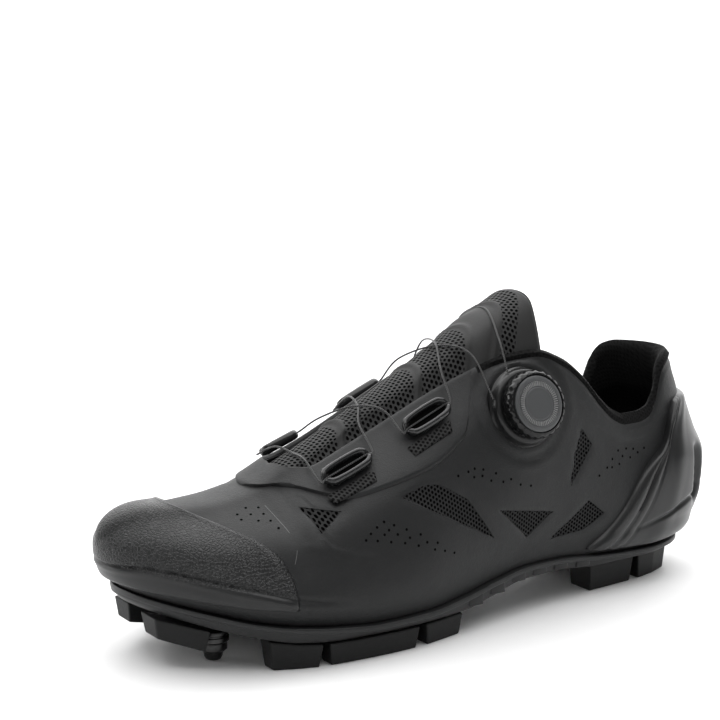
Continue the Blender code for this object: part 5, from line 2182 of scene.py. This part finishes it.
        def place(a: float, b: float) -> tuple[float, float]:
            """Gives u and v."""
            low = abs(v) + 0.043 + 0.034 * b
            return FORM.u_of(station + 0.006 + (a - 0.5) * 2 * width * (1 - 0.12 * b)), side * low

        def outer(spot: Spot) -> float:
            """The outer face's offset.

            Args:
                spot: The place.

            Returns:
                The offset.
            """
            a, b = spot.a, spot.b
            edge = min(clamp(a / 0.06), clamp((1 - a) / 0.06), clamp((1 - b) / 0.10))
            return rise + 0.0005 * arc(edge)

        bm = bmesh.new()
        self.grid(bm, 24, 12, lambda a, b: (a, b))
        self.wall(bm, place, outer, lambda spot: rise - 0.0004, 0, False)
        self.hand_over(bm, f"{name}_webbing", Slot.PADDING, [finish_of("webbing", Webbing())], (), 60)

    def through(self, row: GuideRow) -> list[Vector]:
        """Points of the wire in a guide, the way that it runs through it.

        Args:
            row: The guide's row.

        Returns:
            The points.
        """
        _, station, v, long, lift, way = row
        frame = FORM.frame(station, v, lift)
        half = self.guide_length * long / 2
        clear = self.channel / 2
        ends = (-half - clear, self.guide_bar - half, half - self.guide_bar, half + clear)
        return [frame @ Vector((x, 0, self.wire_level)) for x in ends][::way]

    def over(self, start: float, end: float, side: int, lift: float = 0.0) -> list[Vector]:
        """Points of the wire over the throat, from one side of the shoe to the other.

        Args:
            start: The station where it leaves.
            end: The one where it arrives.
            side: The side that it leaves, 1 outside or -1 inside.
            lift: How much higher its middle is.

        Returns:
            The points.
        """
        points = []
        heights = (self.wire_over_edge, self.wire_over_tongue + lift, self.wire_over_edge)
        for share, height in zip((0.12, 0.5, 0.88), heights):
            v = side * (0.5 - share) * 0.42
            points.append(FORM.skin(FORM.u_of(start + (end - start) * share), v, height))
        return points

    def route(self) -> list[Vector]:
        """The wire's route: from the dial down through the guides and back to the dial.

        Returns:
            Its points.
        """
        dial = self.dial_frame()
        reach = self.base_radius + 2 * FORM.gap
        path = [dial @ Vector((reach * 0.30, -reach * 0.96, self.wire_over_edge))]
        side, last = 1, self.station + self.wire_from_dial
        for i, row in enumerate(self.guides):
            half = self.guide_length * row[3] / FORM.length / 2
            path += self.over(last, row[1] - half * row[5], side, self.wire_crossing if i in (1, 2) else 0)
            path += self.through(row)
            side, last = -side, row[1] + half * row[5]
        path += self.over(last, self.station + self.wire_to_dial, side)
        path.append(dial @ Vector((reach * 0.93, -reach * 0.40, self.wire_over_edge)))
        return path

    def wire(self, points: list[Vector]) -> None:
        """The lace wire, as a round tube along a smooth curve through its points.

        Args:
            points: The points.
        """
        ends = [2 * points[0] - points[1]] + points + [2 * points[-1] - points[-2]]
        curve: list[Vector] = []
        for i in range(1, len(ends) - 2):
            before, start, end, after = ends[i - 1 : i + 3]
            for step in range(8):
                t = step / 8
                straight = 2 * start + (end - before) * t
                bend = (2 * before - 5 * start + 4 * end - after) * t * t
                twist = (3 * start - before - 3 * end + after) * t * t * t
                curve.append((straight + bend + twist) / 2)
        curve.append(points[-1])
        bm = bmesh.new()
        bmesh.ops.create_grid(bm, x_segments=len(curve) - 1, y_segments=10, size=0.5)
        chart = bm.loops.layers.uv.new("chart")
        lengths = [0.0]
        for first, second in zip(curve, curve[1:]):
            lengths.append(lengths[-1] + (second - first).length)
        frames, normal = [], (curve[1] - curve[0]).orthogonal().normalized()
        for i, point in enumerate(curve):
            ahead = (curve[min(i + 1, len(curve) - 1)] - curve[max(i - 1, 0)]).normalized()
            normal = (normal - ahead * normal.dot(ahead)).normalized()
            frames.append((point, normal.copy(), ahead.cross(normal)))
        for face in bm.faces:
            for loop in face.loops:
                i = round((loop.vert.co.x + 0.5) * (len(curve) - 1))
                loop[chart].uv = (lengths[i] * 1000, loop.vert.co.y + 0.5)
        for vert in bm.verts:
            point, normal, other = frames[round((vert.co.x + 0.5) * (len(curve) - 1))]
            angle = 2 * math.pi * round((vert.co.y + 0.5) * 10) / 10
            vert.co = point + (normal * math.cos(angle) + other * math.sin(angle)) * self.wire_radius
        bmesh.ops.remove_doubles(bm, verts=bm.verts, dist=1e-6)
        bmesh.ops.holes_fill(bm, edges=bm.edges, sides=12)
        bmesh.ops.recalc_face_normals(bm, faces=bm.faces)
        self.hand_over(bm, "wire_run", Slot.WIRE, [finish_of("wire_strand", Strand())], ["lace_wire"], 60)


@dataclass
class Studio:
    """The floor, the backdrop, the light and the camera."""

    eye: tuple[float, float, float] = (0.4297, 0.6168, 0.2398)
    ahead: tuple[float, float, float] = (-0.5324, -0.8285, -0.1737)
    lens: float = 90.0
    surroundings: float = 0.25
    behind: float = 1.5
    # Name, place, side in metres and power in watts
    lamps: tuple[tuple[str, tuple[float, float, float], float, float], ...] = (
        ("overhead", (-0.1, -0.2, 1.9), 3.2, 80.0),
        ("front", (1.0, 1.4, 0.9), 0.8, 2.0),
        ("toe", (1.0, -0.6, 0.22), 0.4, 2.5),
    )

    def build(self) -> None:
        """Sets up the floor, backdrop, light and camera."""
        bpy.context.scene.view_settings.view_transform = "Standard"
        self.screen("floor", Matrix.Identity(4), Plain(0.90, 0.7))
        level = Vector((self.ahead[0], self.ahead[1], 0)).normalized()
        facing = (-level).to_track_quat("Z", "Y").to_matrix().to_4x4()
        self.screen("backdrop", Matrix.Translation(level * self.behind) @ facing, Plain(0.90, 0.9, 1.0))
        world = bpy.data.worlds.new("studio")
        bpy.context.scene.world = world
        world.use_nodes = True
        sky = world.node_tree.nodes["Background"].inputs
        sky[0].default_value = (1, 1, 1, 1)
        sky[1].default_value = self.surroundings
        for row in self.lamps:
            self.lamp(*row)
        camera = bpy.data.cameras.new("camera")
        camera.lens = self.lens
        camera.sensor_width = 36
        camera.clip_start = 0.01
        eye = bpy.data.objects.new("camera", camera)
        eye.location = self.eye
        eye.rotation_mode = "QUATERNION"
        eye.rotation_quaternion = Vector(self.ahead).to_track_quat("-Z", "Y")
        bpy.context.scene.collection.objects.link(eye)
        bpy.context.scene.camera = eye

    @staticmethod
    def screen(name: str, place: Matrix, finish: Plain) -> None:
        """A wide flat sheet that belongs to the stage.

        Args:
            name: Its name.
            place: Where it lies, facing the place's Z.
            finish: Its finish.
        """
        bm = bmesh.new()
        bmesh.ops.create_grid(bm, x_segments=1, y_segments=1, size=4, matrix=place)
        mesh = bpy.data.meshes.new(name)
        bm.to_mesh(mesh)
        bm.free()
        mesh.materials.append(finish_of(name, finish))
        sheet = bpy.data.objects.new(name, mesh)
        bpy.context.scene.collection.objects.link(sheet)

    @staticmethod
    def lamp(name: str, place: tuple[float, float, float], size: float, power: float) -> None:
        """A soft square lamp that faces the shoe.

        Args:
            name: Its name.
            place: Where it hangs.
            size: Its side.
            power: Its power in watts.
        """
        light = bpy.data.lights.new(name, "AREA")
        light.size = size
        light.energy = power
        lamp = bpy.data.objects.new(name, light)
        lamp.location = place
        lamp.rotation_mode = "QUATERNION"
        lamp.rotation_quaternion = (Vector((0, 0, 0.05)) - Vector(place)).to_track_quat("-Z", "Y")
        bpy.context.scene.collection.objects.link(lamp)


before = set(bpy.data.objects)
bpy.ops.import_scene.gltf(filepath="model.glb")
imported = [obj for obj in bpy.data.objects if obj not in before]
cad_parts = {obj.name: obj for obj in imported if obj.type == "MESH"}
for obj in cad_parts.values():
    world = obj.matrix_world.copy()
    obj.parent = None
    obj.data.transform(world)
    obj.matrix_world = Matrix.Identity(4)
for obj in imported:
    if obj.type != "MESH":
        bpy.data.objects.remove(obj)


def main() -> None:
    """Dresses the shoe."""
    logging.basicConfig(level=logging.INFO, format="%(message)s")
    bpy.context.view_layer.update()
    for part in (Studio(), Upper(), Overlays(), Tongue(), Bottom(), Fasteners(), Closure()):
        part.build()


if __name__ == "__main__":
    main()
